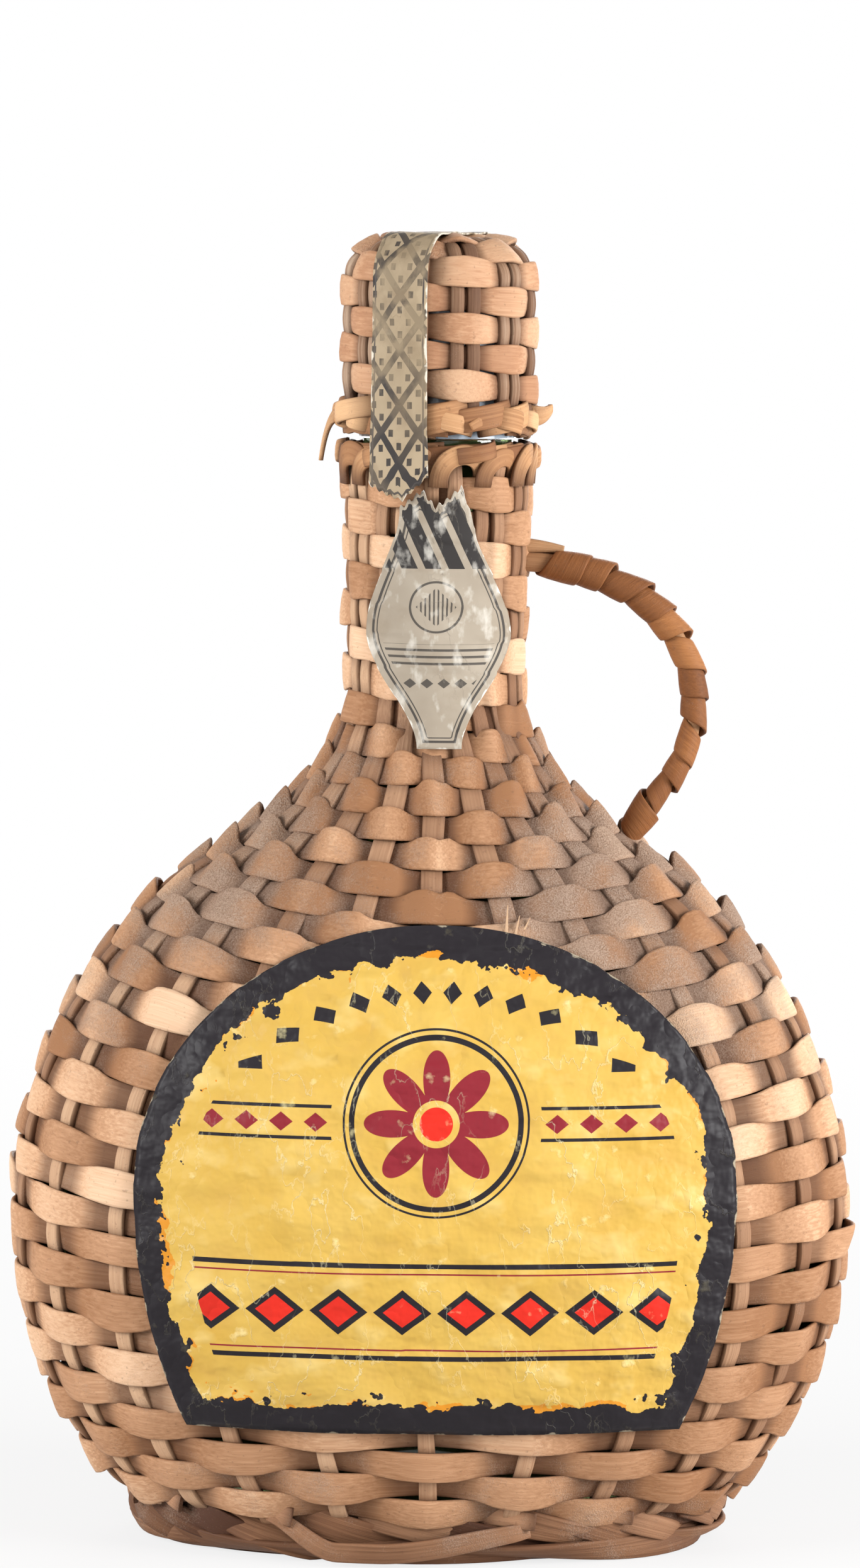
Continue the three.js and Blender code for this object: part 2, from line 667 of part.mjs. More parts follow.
// Seal strip: a paper ribbon up the front of the hood, over its top and part way down the back
function sealStrip() {
  const columns = 4;
  const along = new THREE.Vector3(Math.cos(STRIP_ANGLE * RAD), Math.sin(STRIP_ANGLE * RAD), 0);
  const across = new THREE.Vector3(-along.y, along.x, 0);
  const surface = (lift) => {
    const radius = HOOD_RADIUS + RIM_BULGE + lift;
    const edge = HOOD_EDGE_RADIUS;
    const edgeZ = HOOD_TOP_Z + lift - edge;
    const line = (out, z) => Array.from({ length: columns + 1 }, (_, j) => {
      const aside = STRIP_WIDTH * (j / columns - 0.5);
      const reach = Math.sqrt(radius * radius - aside * aside) - radius;
      return new THREE.Vector3(0, 0, z)
        .addScaledVector(along, out + Math.sign(out) * reach)
        .addScaledVector(across, aside);
    });
    const lines = [];
    const sideSteps = 4;
    const edgeSteps = 6;
    const frontFoot = HOOD_RIM_Z - STRIP_HANG;
    for (let i = 0; i < sideSteps; i += 1) {
      lines.push(line(radius, THREE.MathUtils.lerp(frontFoot, edgeZ, i / sideSteps)));
    }
    const bend = (i) => i / edgeSteps * Math.PI / 2;
    for (let i = 0; i <= edgeSteps; i += 1) {
      lines.push(line(radius - edge + edge * Math.cos(bend(i)), edgeZ + edge * Math.sin(bend(i))));
    }
    for (let i = edgeSteps; i >= 0; i -= 1) {
      lines.push(line(edge - radius - edge * Math.cos(bend(i)), edgeZ + edge * Math.sin(bend(i))));
    }
    lines.push(line(-radius, edgeZ - STRIP_BACK_DROP));
    return lines;
  };
  return sheet(surface(PAPER_CLEARANCE + PAPER_THICK), surface(PAPER_CLEARANCE));
}

addPiece(flask, 'glass_flask', glassFlask(), 0x4b5a3a, 0.08);
for (let k = 0; k < STAKE_COUNT; k += 1) {
  addPiece(jacket, numbered('stake', k), stake(k), WILLOW_DARK, 0.7);
}
let row = 0.5 - NECK_ROWS;
NECK_SKEIN_TURNS.forEach((turns, i) => {
  const name = numbered('neck_skein', i);
  addPiece(jacket, name, skein(name, row, turns), WILLOW, 0.65);
  row += turns;
});
for (let i = 0; i < BODY_SKEINS; i += 1) {
  const name = numbered('body_skein', i);
  addPiece(jacket, name, skein(name, row, TURNS_PER_SKEIN), WILLOW, 0.65);
  row += TURNS_PER_SKEIN;
}
addPiece(jacket, 'foot_border', footBorder(), WILLOW_DARK, 0.75);
const neckRimDepth = GLASS_DEPTH - CLEARANCE;
addPiece(jacket, 'neck_rim', rimRing(NECK_TOP_RADIUS, neckRimDepth, NECK_RIM_Z, NECK_RIM_HEIGHT),
  WILLOW_DARK, 0.75);

addPiece(stopper, 'cork_stopper', corkStopper(), 0xb08a5e, 0.85);
addPiece(stopper, 'stopper_cap', stopperCap(), 0xbecddc, 0.3);
addPiece(stopper, 'hood_stakes', hoodStakes(), WILLOW_DARK, 0.7);
let hoodTurn = 0;
HOOD_SKEIN_TURNS.forEach((turns, i) => {
  const name = numbered('hood_skein', i);
  addPiece(stopper, name, hoodSkein(name, hoodTurn, turns), WILLOW, 0.65);
  hoodTurn += turns;
});
const hoodRimDepth = CAP_DEPTH - CLEARANCE;
addPiece(stopper, 'hood_rim', rimRing(HOOD_RADIUS, hoodRimDepth, HOOD_RIM_Z, HOOD_RIM_HEIGHT),
  WILLOW_DARK, 0.75);
addPiece(stopper, 'seal_strip', sealStrip(), 0xb9af9b, 0.85);

addPiece(handle, 'handle_core', handleCore(), WILLOW_DARK, 0.75);
addPiece(handle, 'handle_binding', handleBinding(), BINDING, 0.55);

addPiece(flask, 'front_label', frontLabel(), 0xf0d464, 0.8);
addPiece(flask, 'neck_seal', neckSeal(), 0xcdcac3, 0.8);

export default flask;
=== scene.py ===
# %% [markdown]
# # A wicker flask
# The object is a flattened glass flask in a woven willow jacket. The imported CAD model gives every
# piece its place. This lesson gives the weave its real over and under, the borders their tucked
# strips and the papers their creases, and then adds finishes, light and a camera.

import bpy
import numpy as np
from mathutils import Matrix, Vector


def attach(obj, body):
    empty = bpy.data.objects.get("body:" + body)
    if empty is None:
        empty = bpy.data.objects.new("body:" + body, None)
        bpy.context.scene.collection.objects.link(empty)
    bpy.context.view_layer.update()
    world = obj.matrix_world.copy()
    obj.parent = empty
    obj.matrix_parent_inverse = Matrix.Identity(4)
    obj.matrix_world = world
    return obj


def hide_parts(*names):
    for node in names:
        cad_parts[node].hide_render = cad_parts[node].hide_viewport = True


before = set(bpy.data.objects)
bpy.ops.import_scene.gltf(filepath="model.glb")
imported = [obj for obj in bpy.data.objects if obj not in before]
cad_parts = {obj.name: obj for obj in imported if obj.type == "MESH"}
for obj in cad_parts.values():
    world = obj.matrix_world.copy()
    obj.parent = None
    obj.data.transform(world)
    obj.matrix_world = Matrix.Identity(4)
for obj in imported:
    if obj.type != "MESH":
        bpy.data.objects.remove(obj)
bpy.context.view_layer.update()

# %% [markdown]
# ## The surface that the weave follows
# A basket maker weaves round the glass, so each strip follows one surface. That surface is worked
# out here from the same sizes as the CAD model. It has two outlines, one seen from the front and
# one from the side, and each point lies between the two by its angle. Working in rows of weave,
# not in heights, keeps the rows evenly wide on the shoulder and on the belly.

# %% Sizes of the flask over its weave, in millimetres and degrees
TURN = 2 * np.pi
FRONT = 1.5 * np.pi
UP = np.array([0, 0, 1.0])
BODY_HALF_WIDTH, BODY_HALF_DEPTH, BODY_MID_Z = 79.0, 43.0, 60.0
SHOULDER_RISE, BELLY_DROP, FOOT_HEIGHT = 82.0, 77.0, 6.0
SIDE_JOIN, FACE_JOIN, SWEEP_RISE = 60, 45, 30
CORNER_FULLNESS, FULLNESS_ROWS = 0.15, 9
NECK_RADIUS, NECK_TOP_RADIUS, NECK_LENGTH = 17.0, 18.0, 41.5
SWEEP_Z = BODY_MID_Z + SHOULDER_RISE * np.sin(np.radians(SIDE_JOIN)) + SWEEP_RISE
NECK_TOP_Z = SWEEP_Z + NECK_LENGTH
NECK_ROWS, BODY_ROWS, FIRST_ROW = 7, 31, -6.5
STAKE_COUNT, GROUP_COUNT, NECK_TWIST = 23, 11, 4
STAKE_STEP, GROUP_STEP = TURN / STAKE_COUNT, TURN / GROUP_COUNT
SEAM = FRONT + STAKE_COUNT // 2 * STAKE_STEP
GROUP_START = FRONT + np.radians(NECK_TWIST)


def smooth(x):
    """Nought below 0, one above 1, and 3x^2 - 2x^3 between them."""
    x = np.clip(x, 0, 1)
    return x * x * (3 - 2 * x)


def unit(v):
    """Each vector divided by its own length."""
    return v / np.linalg.norm(v, axis=-1, keepdims=True)


def times(vectors, numbers):
    """Each vector multiplied by its own number."""
    return vectors * np.asarray(numbers)[..., None]


def tilted(first, second, angle):
    """The first direction turned towards the second: first * cos + second * sin."""
    return times(first, np.cos(angle)) + times(second, np.sin(angle))


def spoke(angle):
    """The level direction at each angle round the axis."""
    return np.stack([np.cos(angle), np.sin(angle), 0 * angle], -1)


def run_length(points):
    """Length along a path from its first point to each of its points."""
    return np.concatenate([[0], np.cumsum(np.linalg.norm(np.diff(points, axis=0), axis=1))])


def outline(half, join_degrees):
    """Half-breadth and height at even shares of the length: a quadratic sweep out of the neck, then
    a quarter ellipse over the shoulder, then an ellipse round the belly to the foot."""
    join = np.radians(join_degrees)
    s = np.linspace(0, 1, 500)
    join_x, join_z = half * np.cos(join), BODY_MID_Z + SHOULDER_RISE * np.sin(join)
    bend_z = join_z + (join_x - NECK_RADIUS) * SHOULDER_RISE / (half * np.tan(join))
    foot = np.arcsin((BODY_MID_Z - FOOT_HEIGHT) / BELLY_DROP)
    x = np.concatenate([(1 - s * s) * NECK_RADIUS + s * s * join_x,
                        half * np.cos(join * (1 - s)), half * np.cos(foot * s)])
    z = np.concatenate([(1 - s) ** 2 * SWEEP_Z + 2 * s * (1 - s) * bend_z + s * s * join_z,
                        BODY_MID_Z + SHOULDER_RISE * np.sin(join * (1 - s)),
                        BODY_MID_Z - BELLY_DROP * np.sin(foot * s)])
    length = run_length(np.stack([x, z], -1))
    return length / length[-1], x, z


SIDE = outline(BODY_HALF_WIDTH, SIDE_JOIN)
FACE = outline(BODY_HALF_DEPTH, FACE_JOIN)


def weave_point(angle, row):
    """On the neck a cone. Below it x = side * cos, y = face * sin, a little fuller at the corners,
    and the height goes from the side outline to the face outline by the square of the sine."""
    cos, sin = np.cos(angle), np.sin(angle)
    up = np.maximum(-row / NECK_ROWS, 0)
    share = np.clip(row / BODY_ROWS, 0, 1)
    side_x, side_z = (np.interp(share, SIDE[0], line) for line in SIDE[1:])
    face_y, face_z = (np.interp(share, FACE[0], line) for line in FACE[1:])
    full = 1 + CORNER_FULLNESS * smooth(row / FULLNESS_ROWS) * cos * cos
    flare = (NECK_TOP_RADIUS - NECK_RADIUS) * up
    x = (side_x + flare) * cos
    y = (face_y + flare) * sin * full
    z = side_z * cos * cos + face_z * sin * sin + NECK_LENGTH * up
    return np.stack([x, y, z], -1)


def weave_frame(angle, row):
    """The point with its directions along the row, up across the rows and outwards."""
    point = weave_point(angle, row)
    up = weave_point(angle, row - 0.06) - weave_point(angle, np.minimum(row + 0.06, BODY_ROWS))
    along = unit(weave_point(angle + 0.004, row) - weave_point(angle - 0.004, row))
    out = unit(np.cross(along, unit(up)))
    return point, along, np.cross(out, along), out


def front_place(x, z):
    """Angle and row where the front of the weave shows at x and z, found by halving the rows."""
    above, below = np.full(np.shape(z), -float(NECK_ROWS)), np.full(np.shape(z), float(BODY_ROWS))
    for _ in range(40):
        row = (above + below) / 2
        reach = weave_point(np.zeros_like(row), row)[..., 0]
        angle = TURN - np.arccos(np.clip(x / reach, -1, 1))
        high = weave_point(angle, row)[..., 2] > z
        above, below = np.where(high, row, above), np.where(high, below, row)
    return angle, (above + below) / 2


print("foot of the neck at", round(SWEEP_Z, 1), "mm, top of the neck weave at", round(NECK_TOP_Z, 1))

# %% [markdown]
# ## Over and under
# An odd number of stakes makes plain weave from one endless strip: each turn meets the stakes the
# other way round. A cosine along the spiral gives that by itself. The neck has eleven groups, also
# odd, and the two patterns fade into each other where the groups fan out.

# %% How far a strip stands out at each place
def fan(row):
    """Nought where the stakes are grouped on the neck, one where each stands alone."""
    return smooth((row + 1) / 5)


def skein_lift(row):
    """Plus one over a stake and minus one behind it: a cosine that turns over once per stake."""
    run = TURN * (row - FIRST_ROW)
    grouped = np.cos(GROUP_COUNT / 2 * (run - (GROUP_START - SEAM)))
    single = np.cos(STAKE_COUNT / 2 * run)
    return grouped + (single - grouped) * fan(row)


def tent(lift):
    """A wave half way between a cosine and straight slopes, as a stiff flat strip bends."""
    return 0.5 * lift + 0.5 * (1 - np.arccos(np.clip(lift, -1, 1)) * 2 / np.pi)


def settled_dust(point, out):
    """More dust where the weave faces up, most of it on both shoulders, and some round the foot."""
    x, z = point[:, 0], point[:, 2]
    band = smooth((z - 78) / 30) * smooth((172 - z) / 12)
    aside = 0.3 + 0.5 * smooth((np.abs(x) - 6) / 28) + 0.25 * smooth((x - 4) / 20)
    body = 0.14 * smooth((170 - z) / 20)
    return body + smooth((out[:, 2] - 0.05) / 0.4) * band * aside + 0.2 * smooth((26 - z) / 16)


def stake_lift(k, group, row):
    """Minus the skein's lift where the spiral crosses this stake, joined by a cosine over the rows."""
    steps = k - STAKE_COUNT // 2
    single = -np.cos(np.pi * (steps + row - FIRST_ROW - steps / STAKE_COUNT))
    run = np.mod(GROUP_START + group * GROUP_STEP - SEAM, TURN)
    first = GROUP_COUNT / 2 * (run - (GROUP_START - SEAM))
    grouped = -np.cos(first + np.pi * (row - FIRST_ROW - run / TURN))
    return grouped + (single - grouped) * fan(row)


LABEL_MID_X, LABEL_MID_Z, LABEL_FOOT_Z = 1.0, 71.0, 27.0
LABEL_HALF, LABEL_TOP, LABEL_DROP = 54.5, 47.5, 77.0
SEAL_FOOT_Z, SEAL_TOP_Z, SEAL_WAIST = SWEEP_Z - 11.5, NECK_TOP_Z - 8, 0.47
SEAL_FOOT_HALF, SEAL_HALF, SEAL_TOP_HALF = 4, 12.8, 6.7


def label_half(z):
    """Half-width of the label: an ellipse above its middle and a taller one below."""
    rise = np.where(z > LABEL_MID_Z, LABEL_TOP, LABEL_DROP)
    return LABEL_HALF * np.sqrt(np.clip(1 - ((z - LABEL_MID_Z) / rise) ** 2, 0, 1))


def seal_half(share):
    """Half-width of the neck seal: smooth from the foot to the waist, and from there to the top."""
    low = SEAL_FOOT_HALF + (SEAL_HALF - SEAL_FOOT_HALF) * smooth(share / SEAL_WAIST)
    high = SEAL_HALF - (SEAL_HALF - SEAL_TOP_HALF) * smooth((share - SEAL_WAIST) / (1 - SEAL_WAIST))
    return np.where(share < SEAL_WAIST, low, high)


def pressed(point):
    """One where paper lies on the weave and holds it flat, nought elsewhere."""
    x, y, z = point[..., 0], point[..., 1], point[..., 2]
    aside = np.abs(x - LABEL_MID_X)
    label = smooth((label_half(z) + 2.5 - aside) / 3) * smooth((z - LABEL_FOOT_Z + 4) / 3)
    share = (z - SEAL_FOOT_Z) / (SEAL_TOP_Z - SEAL_FOOT_Z)
    seal = smooth((seal_half(share) + 2 - np.abs(x)) / 2) * (np.abs(share - 0.5) < 0.52)
    return np.where(y < 0, np.maximum(label, seal), 0)


print("each turn passes", STAKE_COUNT, "stakes on the body and", GROUP_COUNT, "groups on the neck")

# %% [markdown]
# ## One way to make a strip
# Split willow is a flat strip with a slightly rounded face and soft edges. A section of
# fourteen points is carried along a path, and all the points come out of one sum of arrays. Three
# attributes ride on the points: the place along and across the grain, a depth that the finishes
# paint as shade, highest where the point lies deep in the weave, at the strip's edges and on its
# back, and how much dust settles on it. The finishes read these later.

# %% Section and strip
ACROSS = np.array([-1, -0.965, -0.86, -0.4, 0.4, 0.86, 0.965, 1, 0.95, 0.6, 0.2, -0.2, -0.6, -0.95])
SUNK = np.array([0.35, 0.03, 0, 0, 0, 0, 0.03, 0.35, 1, 1, 1, 1, 1, 1])
CROWNED = np.array([0, 0.08, 0.35, 1, 1, 0.35, 0.08, 0, 0, 0, 0, 0, 0, 0])


def strip(centre, across, out, width, thick, crown=0.2, shade=0.0, dust=0.0, tone=0.5):
    """Outer face at the centre line: centre + across * half width + out * (crown - thickness)."""
    width, thick, crown, shade, dust, tone = (
        np.broadcast_to(np.asarray(value, float), len(centre))[:, None]
        for value in (width, thick, crown, shade, dust, tone))
    side = width / 2 * ACROSS
    height = crown * CROWNED - thick * SUNK
    grid = centre[:, None] + times(across[:, None], side) + times(out[:, None], height)
    grain = np.stack(np.broadcast_arrays(run_length(centre)[:, None], side, tone), -1)
    # depth is painted shade: the shade given, darker edges and a dark back face
    depth = np.clip(shade + 0.3 * ACROSS ** 8 + 0.5 * (SUNK > 0.9), 0, 1)
    return {"grid": grid, "grain": grain, "depth": depth, "dust": dust + 0 * side}


def rope_faces(grid):
    """Quads round and along a closed section, and paired quads over both ends, all turned outwards."""
    n, k, _ = grid.shape
    i, j = np.arange(n - 1)[:, None] * k, np.arange(k)[None]
    nxt = (j + 1) % k
    around = np.stack([i + j, i + k + j, i + k + nxt, i + nxt], -1).reshape(-1, 4)
    m = np.arange(k // 2 - 1)
    cap = np.stack([m, m + 1, k - 2 - m, k - 1 - m], -1)
    quads = np.concatenate([around, cap, cap[:, ::-1] + (n - 1) * k])
    a, b, c, d = (grid.reshape(-1, 3)[quads[:, q]] for q in range(4))
    volume = np.sum(np.cross(c - a, d - b) * (a + b + c + d))
    return (quads if volume > 0 else quads[:, ::-1]), len(around)


print("a strip's section has", len(ACROSS), "points")

# %% [markdown]
# Several strips can make one piece, such as a border. Their points and faces go into one mesh. It
# rides on a body of the CAD model, stands in for one CAD node and has a slot for its finish.

# %% One mesh from several parts
def put_in_scene(name, data):
    """A new object that holds the data, at the origin of the scene."""
    thing = bpy.data.objects.new(name, data)
    bpy.context.scene.collection.objects.link(thing)
    return thing


def mesh_piece(name, parts, body, finish, node):
    """One mesh from several skinned parts, in metres, with the parts' attributes on its points."""
    quads, soft, start = [], [], 0
    for part in parts:
        faces, smooth_count = rope_faces(part["grid"])
        quads.append(faces + start)
        soft.append(np.arange(len(faces)) < smooth_count)
        start += part["grid"][..., 0].size
    quads, soft = np.concatenate(quads), np.concatenate(soft)
    points = np.concatenate([part["grid"].reshape(-1, 3) for part in parts]) / 1000
    mesh = bpy.data.meshes.new(name)
    mesh.vertices.add(len(points))
    mesh.loops.add(quads.size)
    mesh.polygons.add(len(quads))
    mesh.vertices.foreach_set("co", points.ravel())
    mesh.loops.foreach_set("vertex_index", quads.ravel())
    mesh.polygons.foreach_set("loop_start", np.arange(0, quads.size, 4))
    mesh.polygons.foreach_set("use_smooth", soft)
    for key in [key for key in parts[0] if key != "grid"]:
        values = np.concatenate([part[key].reshape(-1, part[key][0, 0].size) for part in parts])
        kind, field = ("FLOAT_VECTOR", "vector") if values.shape[1] == 3 else ("FLOAT", "value")
        mesh.attributes.new(key, kind, "POINT").data.foreach_set(field, values.astype(float).ravel())
    mesh.update(calc_edges=True)
    mesh.validate()
    mesh.materials.append(finish)
    piece = put_in_scene(name, mesh)
    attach(piece, body)
    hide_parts(node)


print("pieces take their places from", len(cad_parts), "CAD nodes")

# %% [markdown]
# ## Shader sums written as Python
# A finish is a small sum: a base colour, streaks along the grain, painted shade in the dips, dust on top.
# Wiring each Math node by hand hides that sum, so one class wraps a socket and lets plus, minus and
# times add the nodes.

# %% Sockets that do sums
def sum_node(operation, swapped=False):
    """A method that makes one Math node, with its two values swapped where the socket comes second."""
    def method(self, other=0.0):
        return self.finish.math(operation, *((other, self) if swapped else (self, other)))
    return method


class Sock:
    """An output socket that can be added, subtracted, multiplied and compared."""

    def __init__(self, finish, socket):
        self.finish, self.socket = finish, socket

    __add__ = __radd__ = sum_node("ADD")
    __mul__ = __rmul__ = sum_node("MULTIPLY")
    __sub__, __rsub__ = sum_node("SUBTRACT"), sum_node("SUBTRACT", swapped=True)
    __gt__, __lt__, __abs__ = sum_node("GREATER_THAN"), sum_node("LESS_THAN"), sum_node("ABSOLUTE")


print("a Sock turns plus, minus, times and comparisons into Math nodes")

# %% [markdown]
# Every node comes from one method of a finish. Colours are laid one over another, as a painter lays
# them. A piece's roughness and its bump vary with its colour, from the same noises.

# %% Finishes that make nodes
class Finish:
    """A material with one Principled shader, or a world with its Background."""

    def __init__(self, name, store=bpy.data.materials, shader="Principled BSDF", **fixed):
        self.material = store.new(name)
        self.material.use_nodes = True
        self.tree = self.material.node_tree
        self.shader = self.tree.nodes[shader]
        self.feed(self.shader, fixed)

    def feed(self, node, values):
        """Sets a node's sockets by name or number: a socket is linked and a plain value is written."""
        for key, value in values.items():
            if isinstance(value, Sock):
                self.tree.links.new(value.socket, node.inputs[key])
            else:
                node.inputs[key].default_value = value

    def node(self, kind, settings, values, output=0):
        """A new node of a kind, with its settings set first and then its sockets."""
        made = self.tree.nodes.new("ShaderNode" + kind)
        for key, value in settings.items():
            setattr(made, key, value)
        self.feed(made, values)
        return Sock(self, made.outputs[output])

    def math(self, operation, a, b=0.0):
        """A Math node of one operation on one or two numbers."""
        return self.node("Math", {"operation": operation}, {0: a, 1: b})

    def distance(self, a, b):
        """The root of a * a + b * b."""
        return self.math("SQRT", a * a + b * b)

    def zigzag(self, a, height):
        """Up from nought to a height and down again, over and over, as a grows."""
        return self.math("PINGPONG", a, height)

    def clamp(self, a, low, high):
        """Nought at low, one at high and straight between them."""
        return self.node("MapRange", {}, {0: a, 1: low, 2: high})

    def mix(self, share, a, b):
        """Colour a where share is 0 and colour b where it is 1."""
        return self.node("Mix", {"data_type": "RGBA"}, {0: share, 6: a, 7: b}, 2)

    def attribute(self, name, output=2):
        """A mesh attribute: output 1 is its vector and output 2 its plain number."""
        return self.node("Attribute", {"attribute_name": name}, {}, output)

    def parts(self, vector):
        """The three numbers of a vector."""
        first = self.node("SeparateXYZ", {}, {0: vector})
        return [Sock(self, first.socket.node.outputs[i]) for i in range(3)]

    def noise(self, vector, scale, detail, stretch=None):
        """Smooth noise about one half, with each part of the vector first times its own stretch."""
        if stretch:
            vector = self.node("VectorMath", {"operation": "MULTIPLY"}, {0: vector, 1: stretch})
        return self.node("TexNoise", {}, {"Vector": vector, "Scale": scale, "Detail": detail})

    def place(self):
        """Object coordinates in metres."""
        return self.node("TexCoord", {}, {}, 3)

    def looked_at(self):
        """One for rays from the camera, straight or by way of gloss or glass, and nought for light."""
        path = self.node("LightPath", {}, {}).socket.node.outputs
        camera, gloss, through = (
            Sock(self, path[f"Is {kind} Ray"]) for kind in ("Camera", "Glossy", "Transmission"))
        return self.math("MAXIMUM", camera, self.math("MAXIMUM", gloss, through))

    def bumped(self, height, distance, strength=1.0):
        """A Bump node on the shader's Normal, with a depth in metres."""
        bump = self.node("Bump", {}, {"Height": height, "Distance": distance, "Strength": strength})
        self.feed(self.shader, {"Normal": bump})

    def ground(self, share, a, b):
        """The first layer: colour a where share is 0 and colour b where it is 1."""
        self.colour = self.mix(share, a, b)

    def lay(self, share, colour):
        """A colour laid over the layers below it, to the share given."""
        self.colour = self.mix(share, self.colour, colour)

    def paint(self, roughness):
        """Feeds the layers' colour and a roughness to the shader."""
        self.feed(self.shader, {"Base Color": self.colour, "Roughness": roughness})
        return self.material


def tint(red, green, blue):
    """A colour seen on a screen, 0 to 255, as the linear colour that a shader takes."""
    c = np.array([red, green, blue]) / 255
    linear = np.where(c <= 0.04045, c / 12.92, ((c + 0.055) / 1.055) ** 2.4)
    return (*linear.tolist(), 1.0)


print("a Finish holds one Principled shader")

# %% [markdown]
# ## Willow
# Peeled willow goes from straw to a pinkish tan as it ages. Each strip has its own tone and long
# streaks along its grain. Shade is painted into the colour too: a dark brown at the strip's edges
# and where strips dip and cross. Dust lies thick on the shoulders, because they face up. One
# function makes all willow finishes, so they look like one basket, and only the colours change.

# %% Willow finishes
# The second colour is the dark brown of the painted shade.
FLECK, SHADE_BROWN = tint(104, 76, 58), tint(78, 50, 35)
DARK_DUST, PALE_DUST = tint(122, 102, 88), tint(178, 158, 142)


def willow(name, pale, tan, dark, shade_share=0.85, gloss=0.55, streaky=0.6):
    """Tone picks between three colours, streaks shift it, painted shade darkens it by depth and dust greys
    it.
    """
    w = Finish(name, **{"Specular IOR Level": 0.16})
    grain, spot = w.attribute("grain", 1), w.place()
    tone, depth, dust = w.parts(grain)[2], w.attribute("depth"), w.attribute("dust")
    streak = w.noise(grain, 1.0, 6.0, (0.04, 2.2, 30.0))
    fibre = w.noise(grain, 1.0, 3.0, (0.12, 9.0, 90.0))
    patch, fleck = w.noise(spot, 38.0, 3.0), w.noise(spot, 1300.0, 2.0)
    powder, grit, drift = w.noise(spot, 160.0, 5.0), w.noise(spot, 3600.0, 2.0), w.noise(spot, 45.0, 2.0)
    shift = tone + (streak - 0.5) * streaky + (patch - 0.5) * 0.7
    w.ground(w.clamp(shift, 0.1, 0.6), tint(*dark), tint(*tan))
    w.lay(w.clamp(shift, 0.5, 1.0), tint(*pale))
    w.lay(w.clamp(fibre, 0.56, 0.75) * 0.35, tint(*dark))
    w.lay(w.clamp(fleck, 0.64, 0.74) * 0.35, FLECK)
    # Painted shade: a dark brown laid where the depth is high, in the dips, at the edges and on the back.
    w.lay(w.clamp(depth + (patch - 0.5) * 0.6, 0.12, 0.85) * shade_share, SHADE_BROWN)
    lying = dust * (0.5 + depth * 0.3 + (drift - 0.5) * 2.4)
    loose = lying + (powder - 0.5) * 1.2 + (grit - 0.5) * 0.6 - 0.25
    settled = w.clamp(loose, 0.0, 0.6) * (1 - depth * 0.5)
    w.lay(settled * 0.75, w.mix(w.clamp(grit, 0.3, 0.7), DARK_DUST, PALE_DUST))
    w.bumped(streak * 0.6 + fibre * 0.4 + settled * grit * 1.5, 0.00022, 0.8)
    return w.paint(w.clamp(settled + fibre * 0.5, 0.0, 1.0) * 0.3 + gloss)


skein_finish = willow("willow_skein", (226, 190, 157), (194, 150, 115), (146, 103, 71))
stake_finish = willow("willow_stake", (200, 166, 134), (172, 134, 104), (132, 96, 71), shade_share=0.9)
hood_finish = willow("willow_hood", (208, 170, 137), (182, 138, 105), (144, 97, 69))
cane_finish = willow("willow_hood_cane", (186, 164, 142), (138, 106, 82), (90, 62, 46))
rim_finish = willow("willow_rim", (210, 168, 126), (178, 132, 92), (128, 86, 58))
# The foot border's colours are darker than the body's, as painted shade low down by the floor.
border_finish = willow("willow_border", (166, 125, 95), (124, 87, 62), (76, 49, 36))
binding_finish = willow("cane_binding", (170, 115, 70), (142, 91, 53), (99, 59, 34), 0.6, 0.45, 0.45)
core_finish = willow("cane_core", (204, 164, 124), (176, 132, 94), (126, 86, 58), 0.5, 0.6)
print("eight willow finishes")

# %% [markdown]
# ## The skeins
# A skein is a long flat strip wound down the flask in a spiral. It lies low behind one stake and
# swells over the next. On the sloping shoulder a flat strip can't follow the cone, so its upper
# edge stands proud over each stake, and under the belly its lower edge does. That lean is what
# gives the outline its saw teeth. Under the papers the weave is held flat.

# %% Wind the skeins
SKEIN_THICK, STAKE_THICK = 0.8, 1.3


